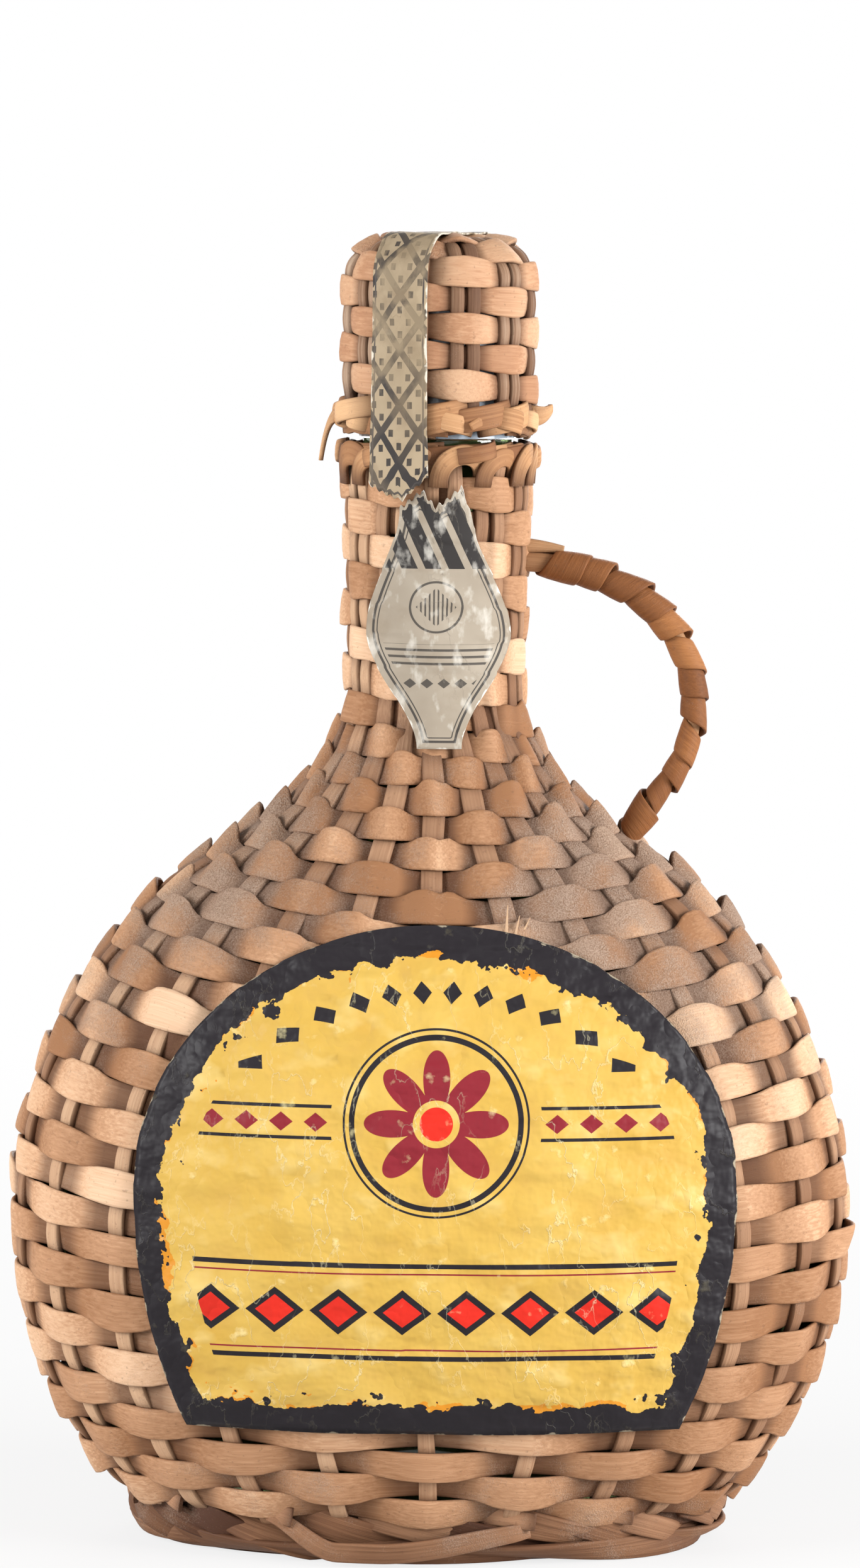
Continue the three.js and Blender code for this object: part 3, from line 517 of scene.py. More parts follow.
def wound_skein(first_row, turns, seed):
    """Path on the weave's surface, sunk by 1 - lift, leaning by part of the slope over each stake."""
    rng = np.random.default_rng(seed)
    steps = turns * STAKE_COUNT
    s = np.linspace(0, steps, steps * 10 + 1)
    row, angle = first_row + s / STAKE_COUNT, SEAM + s * STAKE_STEP
    point, _, up, out = weave_frame(angle, row)
    lower_edge = weave_point(angle, np.minimum(row + 0.5, BODY_ROWS))
    pitch = np.linalg.norm(weave_point(angle, row - 0.5) - lower_edge, axis=-1)
    flat = pressed(point)
    free = 1 - flat
    lift = tent(skein_lift(row))
    over, under = np.clip(lift, 0, 1), np.clip(-lift, 0, 1)

    def wander(size, gap=1.0):
        """Straight slopes between random values of about this size, one for each gap of stakes."""
        knots = np.arange(0, steps / gap + 2)
        return size * np.interp(s / gap, knots, rng.normal(size=len(knots)))

    share = np.where(out[:, 2] > 0, 0.17, 0.14)
    lean = (np.arcsin(out[:, 2]) * share * (0.25 + 0.75 * smooth(1.8 * over)) + wander(0.08)) * free
    slope = np.clip(1.7 * out[:, 2], -0.35, 1) * free
    peak = pitch * (0.19 * np.abs(slope) + wander(0.06)) * smooth(1.5 * over)
    width = pitch * (1.0 + 0.13 * over - 0.08 * under) + peak + wander(0.13)
    stand = width / 2 * np.abs(np.sin(lean)) * 0.9
    sunk = 1.1 * (1 - lift) + 0.35 * flat - stand + wander(0.12) * free
    centre = point - times(out, sunk) + times(up, 0.5 * np.sign(slope) * peak + wander(0.14))
    proud = np.clip(slope, 0, 1)
    # Painted shade where the strip dips behind a stake, wider where the weave faces up.
    hollow_shade = (0.7 + 0.25 * proud) * smooth((0.25 + 0.2 * proud - lift) / (0.85 + 0.15 * proud))
    x, z = point[:, 0], point[:, 2]
    # Painted shade in the middle of the shoulder and towards the lower right of the body.
    shoulder_darkening = smooth((z - 112) / 12) * smooth((166 - z) / 14) * smooth((38 - np.abs(x)) / 24)
    low_right_shade = smooth((x - 5) / 40) * smooth((row - 19) / 6)
    # Random tone, a painted highlight over each stake, painted shade where the weave faces up, and darker
    # over the last rows.
    tone = 0.5 + wander(0.2, 9.0) + wander(0.1) + (0.18 + 0.14 * proud) * over - 0.42 * proud
    tone = tone - 0.25 * smooth((row - 25) / 4) - 0.3 * shoulder_darkening - 0.22 * low_right_shade
    return strip(centre, tilted(up, out, lean), out, width, SKEIN_THICK, 0.1 + 0.15 * over, hollow_shade,
                 settled_dust(point, out), np.clip(tone, 0, 0.84))


row = FIRST_ROW
for stem, turn_list in (("neck_skein", (4, 3)), ("body_skein", (3,) * 10)):
    for i, turns in enumerate(turn_list):
        name = f"{stem}_{i + 1:02d}"
        skein = wound_skein(row, turns, int(row * 2) + 40)
        mesh_piece("woven_" + name, [skein], "flask", skein_finish, name)
        row += turns
print("skeins wound down to row", row)

# %% [markdown]
# ## The stakes
# Stakes are the upright canes. They swing the other way from the skeins: where a skein passes
# behind, the stake is pushed out and shows. On the neck they stand in pairs, and they fan out one
# by one below it. A stake is a strip too, with a rounder face. One stake in front has split, and
# three slivers stand off it.

# %% Stand the stakes up
STAKE_SPACING, STAKE_RING = 3.2, 13.1
SPLIT_STAKE = 1
SLIVERS = ((9.4, -0.9, 0.12, 7.0), (9.5, 0.2, 0.3, 5.5), (9.4, 1.0, 0.62, 4.6))


def neck_place(k):
    """Group of a stake and its angle on the neck: pairs side by side, with one group of three."""
    group = min(k // 2, 5) if k < 13 else (k - 1) // 2
    size = 3 if group == 5 else 2
    first = 2 * group + (group > 5)
    aside = (k - first - (size - 1) / 2) * STAKE_SPACING / STAKE_RING
    return group, GROUP_START + group * GROUP_STEP + aside


def stake_angle(k, row):
    """From the stake's place in its neck group, eased to an even share of the body."""
    start = neck_place(k)[1]
    return start + (FRONT + k * STAKE_STEP - start) * fan(row)


def standing_stake(k):
    """Down the weave at the stake's angle, in and out of the rows."""
    rng = np.random.default_rng(500 + k)
    row = np.linspace(-NECK_ROWS, BODY_ROWS, (NECK_ROWS + BODY_ROWS) * 7 + 1)
    point, along, _, out = weave_frame(stake_angle(k, row), row)
    lift = stake_lift(k, neck_place(k)[0], row)
    wander = np.interp(row, np.linspace(-8, 32, 24), rng.normal(size=24))
    sunk = 1.08 - 0.3 * lift + 0.4 * pressed(point) + 0.8 * smooth(row - 30)
    width = 2.75 + 1.35 * fan(row) - 0.9 * smooth((row - 8) / 6) + 0.12 * wander
    centre = point - times(out, sunk) + times(along, 0.25 * wander)
    # Darker over the rows from the foot of the neck down the shoulder.
    shoulder_darkening = smooth((row + 1) / 3) * smooth((13 - row) / 4)
    tone = 0.45 + 0.16 * rng.normal() - 0.3 * shoulder_darkening
    # Painted shade where the stake goes behind a skein.
    return strip(centre, along, out, width, STAKE_THICK, 0.16, 0.42 - 0.4 * lift,
                 0.9 * settled_dust(point, out), tone)


def splinter(row, aside, slant, length):
    """A sliver that has split off a stake: it rises from the row, leans out and ends in a point."""
    v = np.linspace(0, 1, 12)
    row = np.array([row])
    point, along, up, out = weave_frame(stake_angle(SPLIT_STAKE, row), row)
    sideways = times(along, aside + slant * length * v)
    centre = point + sideways + times(up, length * v) + times(out, length * 0.3 * v * v - 0.3)
    return strip(centre, along, out, 0.9 - 0.75 * v, 0.35, 0.05, 0.0, 0.0, 0.95)


for k in range(STAKE_COUNT):
    name = f"stake_{k + 1:02d}"
    parts = [standing_stake(k)]
    if k == SPLIT_STAKE:
        parts += [splinter(*sizes) for sizes in SLIVERS]
    mesh_piece("standing_" + name, parts, "flask", stake_finish, name)
print(STAKE_COUNT, "stakes, grouped on the neck as", [neck_place(k)[0] for k in range(STAKE_COUNT)])

# %% [markdown]
# ## The borders
# At the top of the neck and at the foot the ends are bent over and tucked behind their neighbours.
# Seen from outside this is a row of slanting strips, each coming out from under the last and going
# in under the next. Each strip is one short path, and the same path is turned round the flask.

# %% Lay the neck border
def crosswise(centre, out):
    """The direction across a strip that runs along its centre line and faces out: out x run."""
    return unit(np.cross(out, unit(np.gradient(centre, axis=0))))


def laid_ends(count, span, seed, path, width, thick, tone, loose):
    """Short strips round a ring: each takes the path at its own angle, with a little of its own sway."""
    rng = np.random.default_rng(seed)
    v = np.linspace(0, 1, 25)
    ends = []
    for q in range(count):
        sway = rng.normal(size=5)
        angle = FRONT + (q + 0.2 * sway[0]) * TURN / count + v * span * (1 + 0.12 * sway[1])
        centre, across, out = path(angle, v, loose * sway[2])
        # Each strip takes painted shade towards both its ends, where it tucks under.
        ends.append(strip(centre, across, out, width * (1 + 0.16 * sway[3]), thick, 0.25,
                          0.8 * (1 - np.sin(np.pi * v)), 0.25, np.clip(tone + 0.25 * sway[4], 0, 1)))
    return ends


def round_path(radius, z, rise, bulge):
    """Round a ring: in at both ends, out by the bulge in the middle, and up from edge to edge."""
    def path(angle, v, sway):
        out = spoke(angle)
        reach = radius - 1.7 + (1.7 + bulge + sway) * np.sin(np.pi * np.clip(v * 1.05, 0, 1)) ** 0.7
        centre = times(out, reach) + times(UP, z + rise * (v - 0.5) + 0.6 * sway)
        return centre, crosswise(centre, out), out
    return path


def arch_path(angle, v, sway):
    """A stake's end: up out of the weave, bent over sideways, and down behind its neighbour."""
    out = spoke(angle[0] + (angle[-1] - angle[0]) * smooth(v))
    arch = np.sin(np.pi * v)
    reach = NECK_TOP_RADIUS + 0.15 + 0.3 * sway + 0.9 * arch - 2.4 * v ** 2
    centre = times(out, reach) + times(UP, NECK_TOP_Z - 5.2 + (6.0 + 0.5 * sway) * arch ** 0.75)
    return centre, crosswise(centre, out), out


def rim_lining(start, stop, radius, z):
    """A flat strip round the inside of a rim, between two angles from the front, a little uneven."""
    angle = FRONT + np.radians(np.linspace(start, stop, 161))
    out = spoke(angle)
    centre = radius * out + times(UP, z + 0.15 * np.sin(9 * angle) + 0.1 * np.sin(23 * angle))
    # The lining inside the rim takes painted shade.
    return strip(centre, UP[None], out, 3.6, 0.7, 0.1, 0.35, 0.3, 0.35)


hoop_path = round_path(NECK_TOP_RADIUS - 0.4, NECK_TOP_Z + 0.6, 1.4, 0.0)
stray_path = round_path(NECK_TOP_RADIUS + 0.7, NECK_TOP_Z + 0.2, 1.8, 0.6)
neck_ends = laid_ends(14, 0.5, 71, arch_path, 3.7, 0.7, 0.5, 0.8)
neck_ends += laid_ends(9, 1.2, 70, hoop_path, 3.2, 0.8, 0.3, 0.3)
neck_ends += laid_ends(6, 0.5, 69, stray_path, 3.6, 0.6, 0.65, 0.6)
neck_ends.append(rim_lining(0, 360, NECK_TOP_RADIUS - 0.8, NECK_TOP_Z + 0.7))
mesh_piece("neck_border", neck_ends, "flask", rim_finish, "neck_rim")
print(len(neck_ends), "tucked ends at the neck")

# %% [markdown]
# The foot has three kinds of strip: short ones that turn in under the flask, a few long ones round
# the edge, and cut ends that poke out. One strip has sprung loose in front. A ring inside carries
# the weight.

# %% Lay the foot border
FLOOR_GAP = 0.02
PACKING_INSET, RING_INSET = 1.9, 8.2


def foot_place(angle):
    """Point on the weave's last row, the direction along it and the level direction outwards."""
    point, along, _, out = weave_frame(angle, np.full_like(angle, float(BODY_ROWS)))
    return point, along, unit(out * (1, 1, 0))


def foot_path(angle, v, sway):
    """Round the foot: out from under the last row, down across the edge, and in under the flask."""
    point, along, level = foot_place(angle)
    inset = 2.6 - 3.0 * np.sin(np.pi * np.clip(0.15 + v * 0.8, 0, 1)) + 3.4 * v ** 2 - 1.1 * sway
    centre = point - times(level, inset)
    centre[:, 2] = np.clip(9.4 - 7.6 * v + 1.2 * sway, 2.6, 10.5)
    face = unit(tilted(level, -UP, 0.9 * v - 0.3 + 0.8 * sway * np.sin(np.pi * v)))
    return centre, unit(np.cross(face, along)), face


def foot_stub(angle, v, sway):
    """A cut end that pokes out sideways over the border, from behind the last row."""
    point, _, level = foot_place(angle)
    centre = point + times(level, 2.4 * v - 0.6 + 0.4 * sway)
    centre[:, 2] = 9.6 + sway - 1.2 * v
    return centre, crosswise(centre, level), level


def foot_lash(angle, v, sway):
    """A long strip round the front edge of the foot, turning over slowly as it goes."""
    point, along, level = foot_place(angle)
    centre = point - times(level, 3.2 - 2.2 * np.sin(np.pi * v) - 0.8 * sway)
    centre[:, 2] = 3.2 - 0.9 * np.sin(np.pi * v) + 0.4 * sway
    face = unit(tilted(level, -UP, 0.45 + 0.6 * np.sin(TURN * v + 3 * sway)))
    return centre, unit(np.cross(face, along)), face


def sprung_strip():
    """A strip sprung loose in front: it drops from the weave, lies along the foot and rises back in."""
    v = np.linspace(0, 1, 70)
    arch = np.sin(np.pi * v)
    point, _, level = foot_place(np.radians(239 + 55 * v))
    centre = point + times(level, 0.6 + 1.6 * arch ** 0.5 - 2.4 * smooth((v - 0.85) / 0.15))
    centre[:, 2] = 9.0 - 6.2 * smooth(v / 0.26) + 4.4 * smooth((v - 0.4) / 0.6)
    face = unit(tilted(level, -UP, 0.5 * arch - 0.5 * smooth(1 - v / 0.25)))
    width = 2.0 + 2.6 * arch ** 0.7
    return strip(centre, crosswise(centre, face), face, width, 0.8, 0.15, 0.1, 0.5, 0.7)


foot_ends = laid_ends(27, 0.52, 72, foot_path, 5.4, 0.9, 0.45, 0.4)
foot_ends += laid_ends(5, 1.5, 73, foot_lash, 4.4, 0.9, 0.4, 0.3)
foot_ends += laid_ends(13, 0.16, 68, foot_stub, 3.4, 0.9, 0.75, 0.6)
foot_ends.append(sprung_strip())
last_row, last_along, level = foot_place(np.linspace(0, TURN, 121))
# The packing and the ring under the flask take heavy painted shade.
packing = last_row - level * PACKING_INSET + (0, 0, 2.6)
foot_ends.append(strip(packing, np.cross(level, last_along), level, 7.0, 0.7, 0.1, 0.6, 0.4, 0.3))
ring = (last_row - level * RING_INSET) * (1, 1, 0)
foot_ends.append(strip(ring, level, -UP[None], 4.6, 5.2, 0.0, 0.7, 0.0, 0.3))
for end in foot_ends:
    end["grid"][..., 2] = np.maximum(end["grid"][..., 2], FLOOR_GAP)
mesh_piece("foot_border_ends", foot_ends, "flask", border_finish, "foot_border")
print(len(foot_ends), "strips at the foot")

# %% [markdown]
# ## The hood of the stopper
# The stopper has a wicker hood of its own: pairs of canes that meet in an eye on top, and a skein
# wound up round them. The same cosine does the weaving. The path is worked out along the hood's
# outline: up the side, round the edge and over the flat top to the eye.

# %% Weave the hood
HOOD_RADIUS, HOOD_EDGE, HOOD_EYE, HOOD_RIM_Z = 18.3, 9.0, 5, NECK_TOP_Z + 4.7
HOOD_WEAVE_Z, HOOD_TOP_Z = HOOD_RIM_Z + 3.7, HOOD_RIM_Z + 36
HOOD_SIDE, HOOD_BEND = HOOD_TOP_Z - HOOD_EDGE - HOOD_WEAVE_Z, HOOD_EDGE * np.pi / 2
HOOD_LENGTH = HOOD_SIDE + HOOD_BEND + HOOD_RADIUS - HOOD_EDGE - HOOD_EYE
HOOD_PITCH = HOOD_LENGTH / 8
HOOD_PHASE = FRONT + GROUP_STEP / 2 - SEAM


def hood_frame(angle, length):
    """A line up the side, a quarter circle over the edge, then straight in: the point, its directions
    along, up and out, and its distance from the axis."""
    bend = np.clip((length - HOOD_SIDE) / HOOD_EDGE, 0, np.pi / 2)
    inward = np.maximum(length - HOOD_SIDE - HOOD_BEND, 0)
    radius = HOOD_RADIUS - HOOD_EDGE * (1 - np.cos(bend)) - inward
    z = HOOD_WEAVE_Z + np.minimum(length, HOOD_SIDE) + HOOD_EDGE * np.sin(bend)
    level = spoke(angle)
    along, out = np.cross(UP, level), tilted(level, UP, bend)
    return times(level, radius) + times(UP, z), along, np.cross(out, along), out, radius


def hood_skein(first, turns, extra, seed):
    """A spiral up the hood, over and under its eleven pairs, drawn in to the eye by the extra turns."""
    rng = np.random.default_rng(seed)
    last = first + turns + extra
    turn = np.linspace(first, last, int((turns + extra) * 110) + 1)
    length = (turn + 0.5) * HOOD_PITCH
    point, _, up, out, radius = hood_frame(SEAM - TURN * turn, np.minimum(length, HOOD_LENGTH + 3.6))
    lift = tent(np.cos(GROUP_COUNT / 2 * (TURN * turn + HOOD_PHASE)))
    lift = lift * smooth((HOOD_LENGTH + 1 - length) / 4)
    knots = np.linspace(first, last, turns * GROUP_COUNT + 2)
    wander = [np.interp(turn, knots, rng.normal(size=len(knots))) for _ in range(3)]
    width = np.minimum(4.95 + 0.75 * lift + 0.2 * wander[0], 1.2 + 0.75 * radius)
    centre = point - times(out, 1.05 * (1 - lift) + 0.08 * wander[2])
    # Painted shade where the skein dips behind a pair of canes.
    hollow_shade = 0.75 * smooth((0.25 - lift) / 0.85)
    dust = 0.5 * smooth((out[:, 2] - 0.3) / 0.5)
    tone = np.clip(0.55 + 0.16 * wander[0], 0, 1)
    return strip(centre, tilted(up, out, 0.06 * wander[1]), out, width, 0.85, 0.3, hollow_shade, dust, tone)


def hood_cane(pair, side):
    """One cane of a pair, from the rim to the eye, narrowing as the pairs close up."""
    rng = np.random.default_rng(900 + 2 * pair + side)
    length = np.linspace(-1.5, HOOD_LENGTH + 3.2, 130)
    radius = hood_frame(np.zeros(130), length)[4]
    width = np.minimum(2.5, 0.24 * radius)
    middle = FRONT + (pair + 0.5) * GROUP_STEP
    point, along, _, out, _ = hood_frame(middle + (side - 0.5) * (width * 1.34) / radius, length)
    run = np.mod(SEAM - middle, TURN)
    first = GROUP_COUNT / 2 * (run + HOOD_PHASE)
    lift = -np.cos(first + np.pi * (length / HOOD_PITCH - 0.5 - run / TURN))
    lift = lift * smooth((HOOD_LENGTH - length) / 4)
    centre = point - times(out, 1.1 - 0.3 * lift)
    # Painted shade where the cane goes behind the skein.
    return strip(centre, along, out, width, STAKE_THICK, 0.35, 0.4 - 0.38 * lift, 0.1,
                 0.5 + 0.22 * rng.normal())


for i, turns in enumerate(((0, 4, 0), (4, 3, 1.1))):
    name = f"hood_skein_{i + 1:02d}"
    skein = hood_skein(*turns, 80 + i)
    mesh_piece("woven_" + name, [skein], "hood", hood_finish, name)
canes = [hood_cane(pair, side) for pair in range(GROUP_COUNT) for side in (0, 1)]
mesh_piece("hood_canes", canes, "hood", cane_finish, "hood_stakes")
print(len(canes), "hood canes and two skeins")

# %% [markdown]
# The hood's rim is a border of strips that rise and strips that fall, with a lining inside. Three
# ends have sprung loose from it.

# %% Lay the hood's rim
LOOSE_ENDS = ((-80, -0.16, 4.2, 8.5, 3.8), (78, 0.2, 3.4, -1.2, 4.0), (35, -0.3, 2.0, 1.6, 2.6))


def loose_end(start, turn, reach, drop, width):
    """An end that has sprung from the rim: out by the reach, down by the drop, narrowing to its tip."""
    v = np.linspace(0, 1, 25)
    out = spoke(FRONT + np.radians(start) + turn * v)
    centre = times(out, HOOD_RADIUS - 0.6 + reach * v ** 0.6)
    centre = centre + times(UP, HOOD_RIM_Z + 2.8 - drop * v ** 2.2)
    # Painted shade at the root, where the end comes out of the rim.
    return strip(centre, crosswise(centre, out), out, width * (1 - 0.45 * v), 0.7, 0.15, 0.3 - 0.3 * v,
                 0.2, 0.3 + 0.1 * reach)


rising_path = round_path(HOOD_RADIUS, HOOD_RIM_Z + 2.6, 2.8, 0.3)
falling_path = round_path(HOOD_RADIUS, HOOD_RIM_Z + 1.8, -2.2, 0.7)
rim_ends = laid_ends(13, 0.9, 74, rising_path, 4.6, 0.8, 0.5, 0.7)
rim_ends += laid_ends(11, 0.5, 75, falling_path, 3.2, 0.7, 0.6, 0.5)
rim_ends += [loose_end(*sizes) for sizes in LOOSE_ENDS]
rim_ends.append(rim_lining(46, 366, HOOD_RADIUS - 0.7, HOOD_RIM_Z + 1.15))
mesh_piece("hood_border", rim_ends, "hood", rim_finish, "hood_rim")
print(len(rim_ends), "ends at the hood's rim")

# %% [markdown]
# ## The handle
# A bent cane grows out of the neck weave and goes back into the shoulder, and a flat skein is wound
# round it in close turns. The cane is a round section and the binding is a strip, both carried
# along one path of two cubic curves.

# %% The path of the handle
GRIP_TOP, GRIP_BOW = np.array([17.83, 0, 183.0]), np.array([48.2, 0, 157.5])
GRIP_PULL, GRIP_ROOT, GRIP_REACH, SEAT_ROOT, SEAT_ROW = 12.75, 3.2, 18.8, 2.4, 6.0
SIDEWAYS = np.array([[0, 1.0, 0]])


def cubic(a, b, c, d):
    """A cubic Bezier curve: the four points weighed by powers of t and 1 - t."""
    t = np.linspace(0, 1, 300)[:, None]
    return (1 - t) ** 3 * a + 3 * t * (1 - t) ** 2 * b + 3 * t * t * (1 - t) * c + t ** 3 * d


seat, _, _, seat_out = weave_frame(0.0, SEAT_ROW)
seat = seat + 0.3 * seat_out
pull = GRIP_PULL * UP
upper = cubic(GRIP_TOP - (GRIP_ROOT, 0, 0), GRIP_TOP + (GRIP_REACH, 0, 0), GRIP_BOW + pull, GRIP_BOW)
lower = cubic(GRIP_BOW, GRIP_BOW - pull, seat + GRIP_PULL * seat_out, seat - SEAT_ROOT * seat_out)
grip = np.concatenate([upper, lower[1:]])
grip_length = run_length(grip)
grip_end = grip_length[-1]


def grip_point(length):
    """The point of the handle's path at each length along it."""
    return np.stack([np.interp(length, grip_length, line) for line in grip.T], -1)


def grip_frame(length):
    """Point, run and lift of the handle's path at lengths along it."""
    run = unit(grip_point(np.minimum(length + 0.6, grip_end)) - grip_point(np.maximum(length - 0.6, 0)))
    return grip_point(length), run, np.cross(run, SIDEWAYS)


print("the handle is", round(grip_end, 1), "mm along its cane")

# %% [markdown]
# The cane thins towards the shoulder, and a short prop lies on it at the neck. The binding ends in a
# thicker cuff.

# %% Bend the cane and bind it
BINDING_TURNS, BINDING_START, BINDING_END = 12, 4.2, 4.0


def cane_tube(length, radius, tone):
    """A round section with a slightly uneven radius, carried along the handle's path."""
    point, _, lift = grip_frame(length)
    turn = np.arange(16) * TURN / 16
    uneven = radius[:, None] * (1 + 0.05 * np.sin(2 * turn + length[:, None] * 0.3))
    grid = point[:, None] + times(tilted(lift[:, None], SIDEWAYS, turn), uneven)
    grain = np.stack(np.broadcast_arrays(length[:, None], 2.5 * turn, tone), -1)
    # A little painted shade, even all along the cane.
    return {"grid": grid, "grain": grain, "depth": 0 * uneven + 0.15, "dust": 0 * uneven}


def bound_skein(turns, start, stop):
    """A helix on the cane: lift * cos + side * sin at the cane's radius, with each turn over the edge
    of the last one."""
    rng = np.random.default_rng(61)
    turn = np.linspace(0, turns, turns * 36 + 1)
    length = start + (stop - start) * (turn / turns + 0.012 * np.sin(turn * 2.3))
    point, run, lift = grip_frame(length)
    share = length / grip_end
    out = tilted(lift, SIDEWAYS, TURN * turn)
    knots = np.arange(turns * 3 + 2)
    sway = np.interp(turn * 3, knots, rng.normal(size=len(knots)))
    cuff = smooth((share - 0.88) / 0.05)
    reach = 3.05 - 1.2 * share + 0.75 * cuff + 0.07 * sway
    width = 7.0 - 0.8 * share + 0.8 * cuff + 0.3 * sway
    across = tilted(run, out, 0.12 - 0.28 * cuff + 0.03 * sway)
    tone = np.clip(0.5 + 0.2 * np.interp(turn, np.arange(turns + 1), rng.normal(size=turns + 1)), 0, 1)
    return strip(point + times(out, reach), across, out, width, 0.55, 0.15, 0.1, 0.0, tone)


whole = np.linspace(0, grip_end, 120)
core = cane_tube(whole, 1.8 - 0.6 * whole / grip_end, 0.45)
prop_length = np.linspace(0.2, 9, 30)
prop = cane_tube(prop_length, 1.5 - 0.09 * prop_length, 0.6)
prop["grid"] = prop["grid"] + 3.0 * UP
mesh_piece("handle_cane", [core, prop], "flask", core_finish, "handle_core")
binding = bound_skein(BINDING_TURNS, BINDING_START, grip_end - BINDING_END)
mesh_piece("handle_bound_skein", [binding], "flask", binding_finish, "handle_binding")
print("the cane and", BINDING_TURNS, "turns of its binding")

# %% [markdown]
# ## Paper
# The label, the neck seal and the strip over the hood are thin paper glued on the weave. Paper over
# wicker shows the humps below it, so the label and the neck seal take their lift from the same
# cosine, and the strip has a gentle ripple of its own. Each point keeps its place on the sheet and
# its distance to the cut edge, so that a printed frame can follow the outline.

# %% Sheets on the front of the flask
PAPER_REST, PAPER_THICK = 0.35, 0.28


def sheet(point, out, height, thick, place):
    """A thin closed sheet: each line of points goes out on the outer face and back on the inner one."""
    outer, inner = point + times(out, height + thick), point + times(out, height)
    return {"grid": np.concatenate([outer, inner[:, ::-1]], 1),
            "place": np.concatenate([place, place[:, ::-1]], 1)}


def edge_distance(x, z):
    """Least distance from each point of a flat grid to the points of its own rim."""
    flat = np.stack([x, z], -1)
    rim = np.concatenate([flat[0], flat[-1], flat[:, 0], flat[:, -1]])
    return np.linalg.norm(flat[:, :, None] - rim, axis=-1).min(-1)


def front_sheet(x, z, hump, mid_x=0.0):
    """Paper on the front of the weave: out by a rest height and a share of the weave's own humps."""
    angle, row = front_place(x, z)
    point, _, _, out = weave_frame(angle, row)
    turn = (angle - SEAM) / TURN
    lift = skein_lift(FIRST_ROW + np.round(row - FIRST_ROW - turn) + turn)
    crease = np.sin(0.21 * x + 0.13 * z) * np.sin(0.17 * z - 0.05 * x + 1) * 0.12
    place = np.stack([x - mid_x, z - z.min(), edge_distance(x, z)], -1) / 10
    return sheet(point, out, PAPER_REST + hump * lift + crease, PAPER_THICK, place)


def label_sheet():
    """Lines of points across the label, at even angles of its upper and its lower ellipse."""
    foot = np.arcsin((LABEL_MID_Z - LABEL_FOOT_Z) / LABEL_DROP)
    phi = np.linspace(-foot, np.radians(88.5), 110)[:, None]
    share = np.linspace(-1, 1, 121)[None]
    x = LABEL_MID_X + LABEL_HALF * np.cos(phi) * share
    z = LABEL_MID_Z + np.where(phi > 0, LABEL_TOP, LABEL_DROP) * np.sin(phi) + 0 * share
    return front_sheet(x, z, 0.22, LABEL_MID_X)


def seal_sheet():
    """Lines of points across the neck seal, leaning a little, with its top edge torn."""
    tall = np.linspace(0, 1, 81)[:, None]
    wide = np.linspace(-1, 1, 45)[None]
    tear = np.interp(wide * 6.5, [-6.5, -2.6, -0.4, 1.8, 4.2, 6.5], [-1.2, 2.2, -0.8, 0.6, 3.0, -4.5])
    x = seal_half(tall) * wide + 0.8 * (1 - tall)
    z = SEAL_FOOT_Z + (SEAL_TOP_Z - SEAL_FOOT_Z) * tall + (tear + 0.5 * np.sin(wide * 31)) * tall ** 4
    return front_sheet(x, z, 0.2)


label, seal = label_sheet(), seal_sheet()
print("label", label["grid"].shape[:2], "and neck seal", seal["grid"].shape[:2], "points")

# %% [markdown]
# The strip goes up the front of the hood, over it and down the back. Its lower end is torn, and it
# hangs below the rim without touching the neck.

# %% The strip over the hood
RIBBON_ANGLE, RIBBON_HALF, RIBBON_RADIUS, RIBBON_THICK = 248, 5.2, 19.7, 0.3
RIBBON_HANG, RIBBON_BACK = 10.0, 14


def ribbon_sheet():
    """Up the front of the hood, over its rounded edge and top, and down the back, on its outline."""
    ahead = spoke(np.radians(RIBBON_ANGLE))
    side = HOOD_TOP_Z - HOOD_EDGE - HOOD_RIM_Z + RIBBON_HANG
    flat = 2 * (RIBBON_RADIUS - HOOD_EDGE)
    m = np.linspace(0, side + 2 * HOOD_BEND + flat + RIBBON_BACK, 150)[:, None]
    over = np.linspace(-1, 1, 31)[None]
    bend = sum(np.clip((m - start) / HOOD_EDGE, 0, np.pi / 2) for start in (side, side + HOOD_BEND + flat))
    level = np.clip(m - side - HOOD_BEND, 0, flat)
    back = np.maximum(m - side - 2 * HOOD_BEND - flat, 0)
    reach = RIBBON_RADIUS - HOOD_EDGE - level + HOOD_EDGE * np.cos(bend)
    z = HOOD_RIM_Z - RIBBON_HANG + np.minimum(m, side) + HOOD_EDGE * np.sin(bend) - back
    offset = RIBBON_HALF * over * (1 + 0.12 * np.exp(-m / 18))
    torn = np.interp(over, [-1, -0.35, 0.2, 1], [0.5, -1.2, -2.2, 2.2]) + 0.3 * np.sin(over * 23)
    curve = np.sqrt(RIBBON_RADIUS ** 2 - offset ** 2) - RIBBON_RADIUS
    ripple = 0.18 * np.sin(m * 0.62 + over) * np.cos(m * 0.19 - over * 1.5)
    point = times(ahead, reach + np.sign(reach) * curve * np.abs(np.cos(bend)))
    point = point + times(np.cross(UP, ahead), offset) + times(UP, z + torn * np.exp(-m / 4))
    rim = np.minimum(RIBBON_HALF - np.abs(RIBBON_HALF * over), m)
    place = np.stack(np.broadcast_arrays(offset, m, rim), -1) / 10
    return sheet(point, tilted(ahead, UP, bend), ripple, RIBBON_THICK, place)


ribbon = ribbon_sheet()
print("strip", ribbon["grid"].shape[:2], "points")

# %% [markdown]
# ## Printed paper
# The sheets carry plain printed ornaments: frames, rules, lozenges and a rosette. Under them is old
# paper, with a yellowed or greyed field, pale creases, rubbed patches, stains and chipped edges.
# Places on a sheet are in centimetres from the middle of its foot.

# %% Worn paper
FLAT = (1.0, 1.0, 0.0)


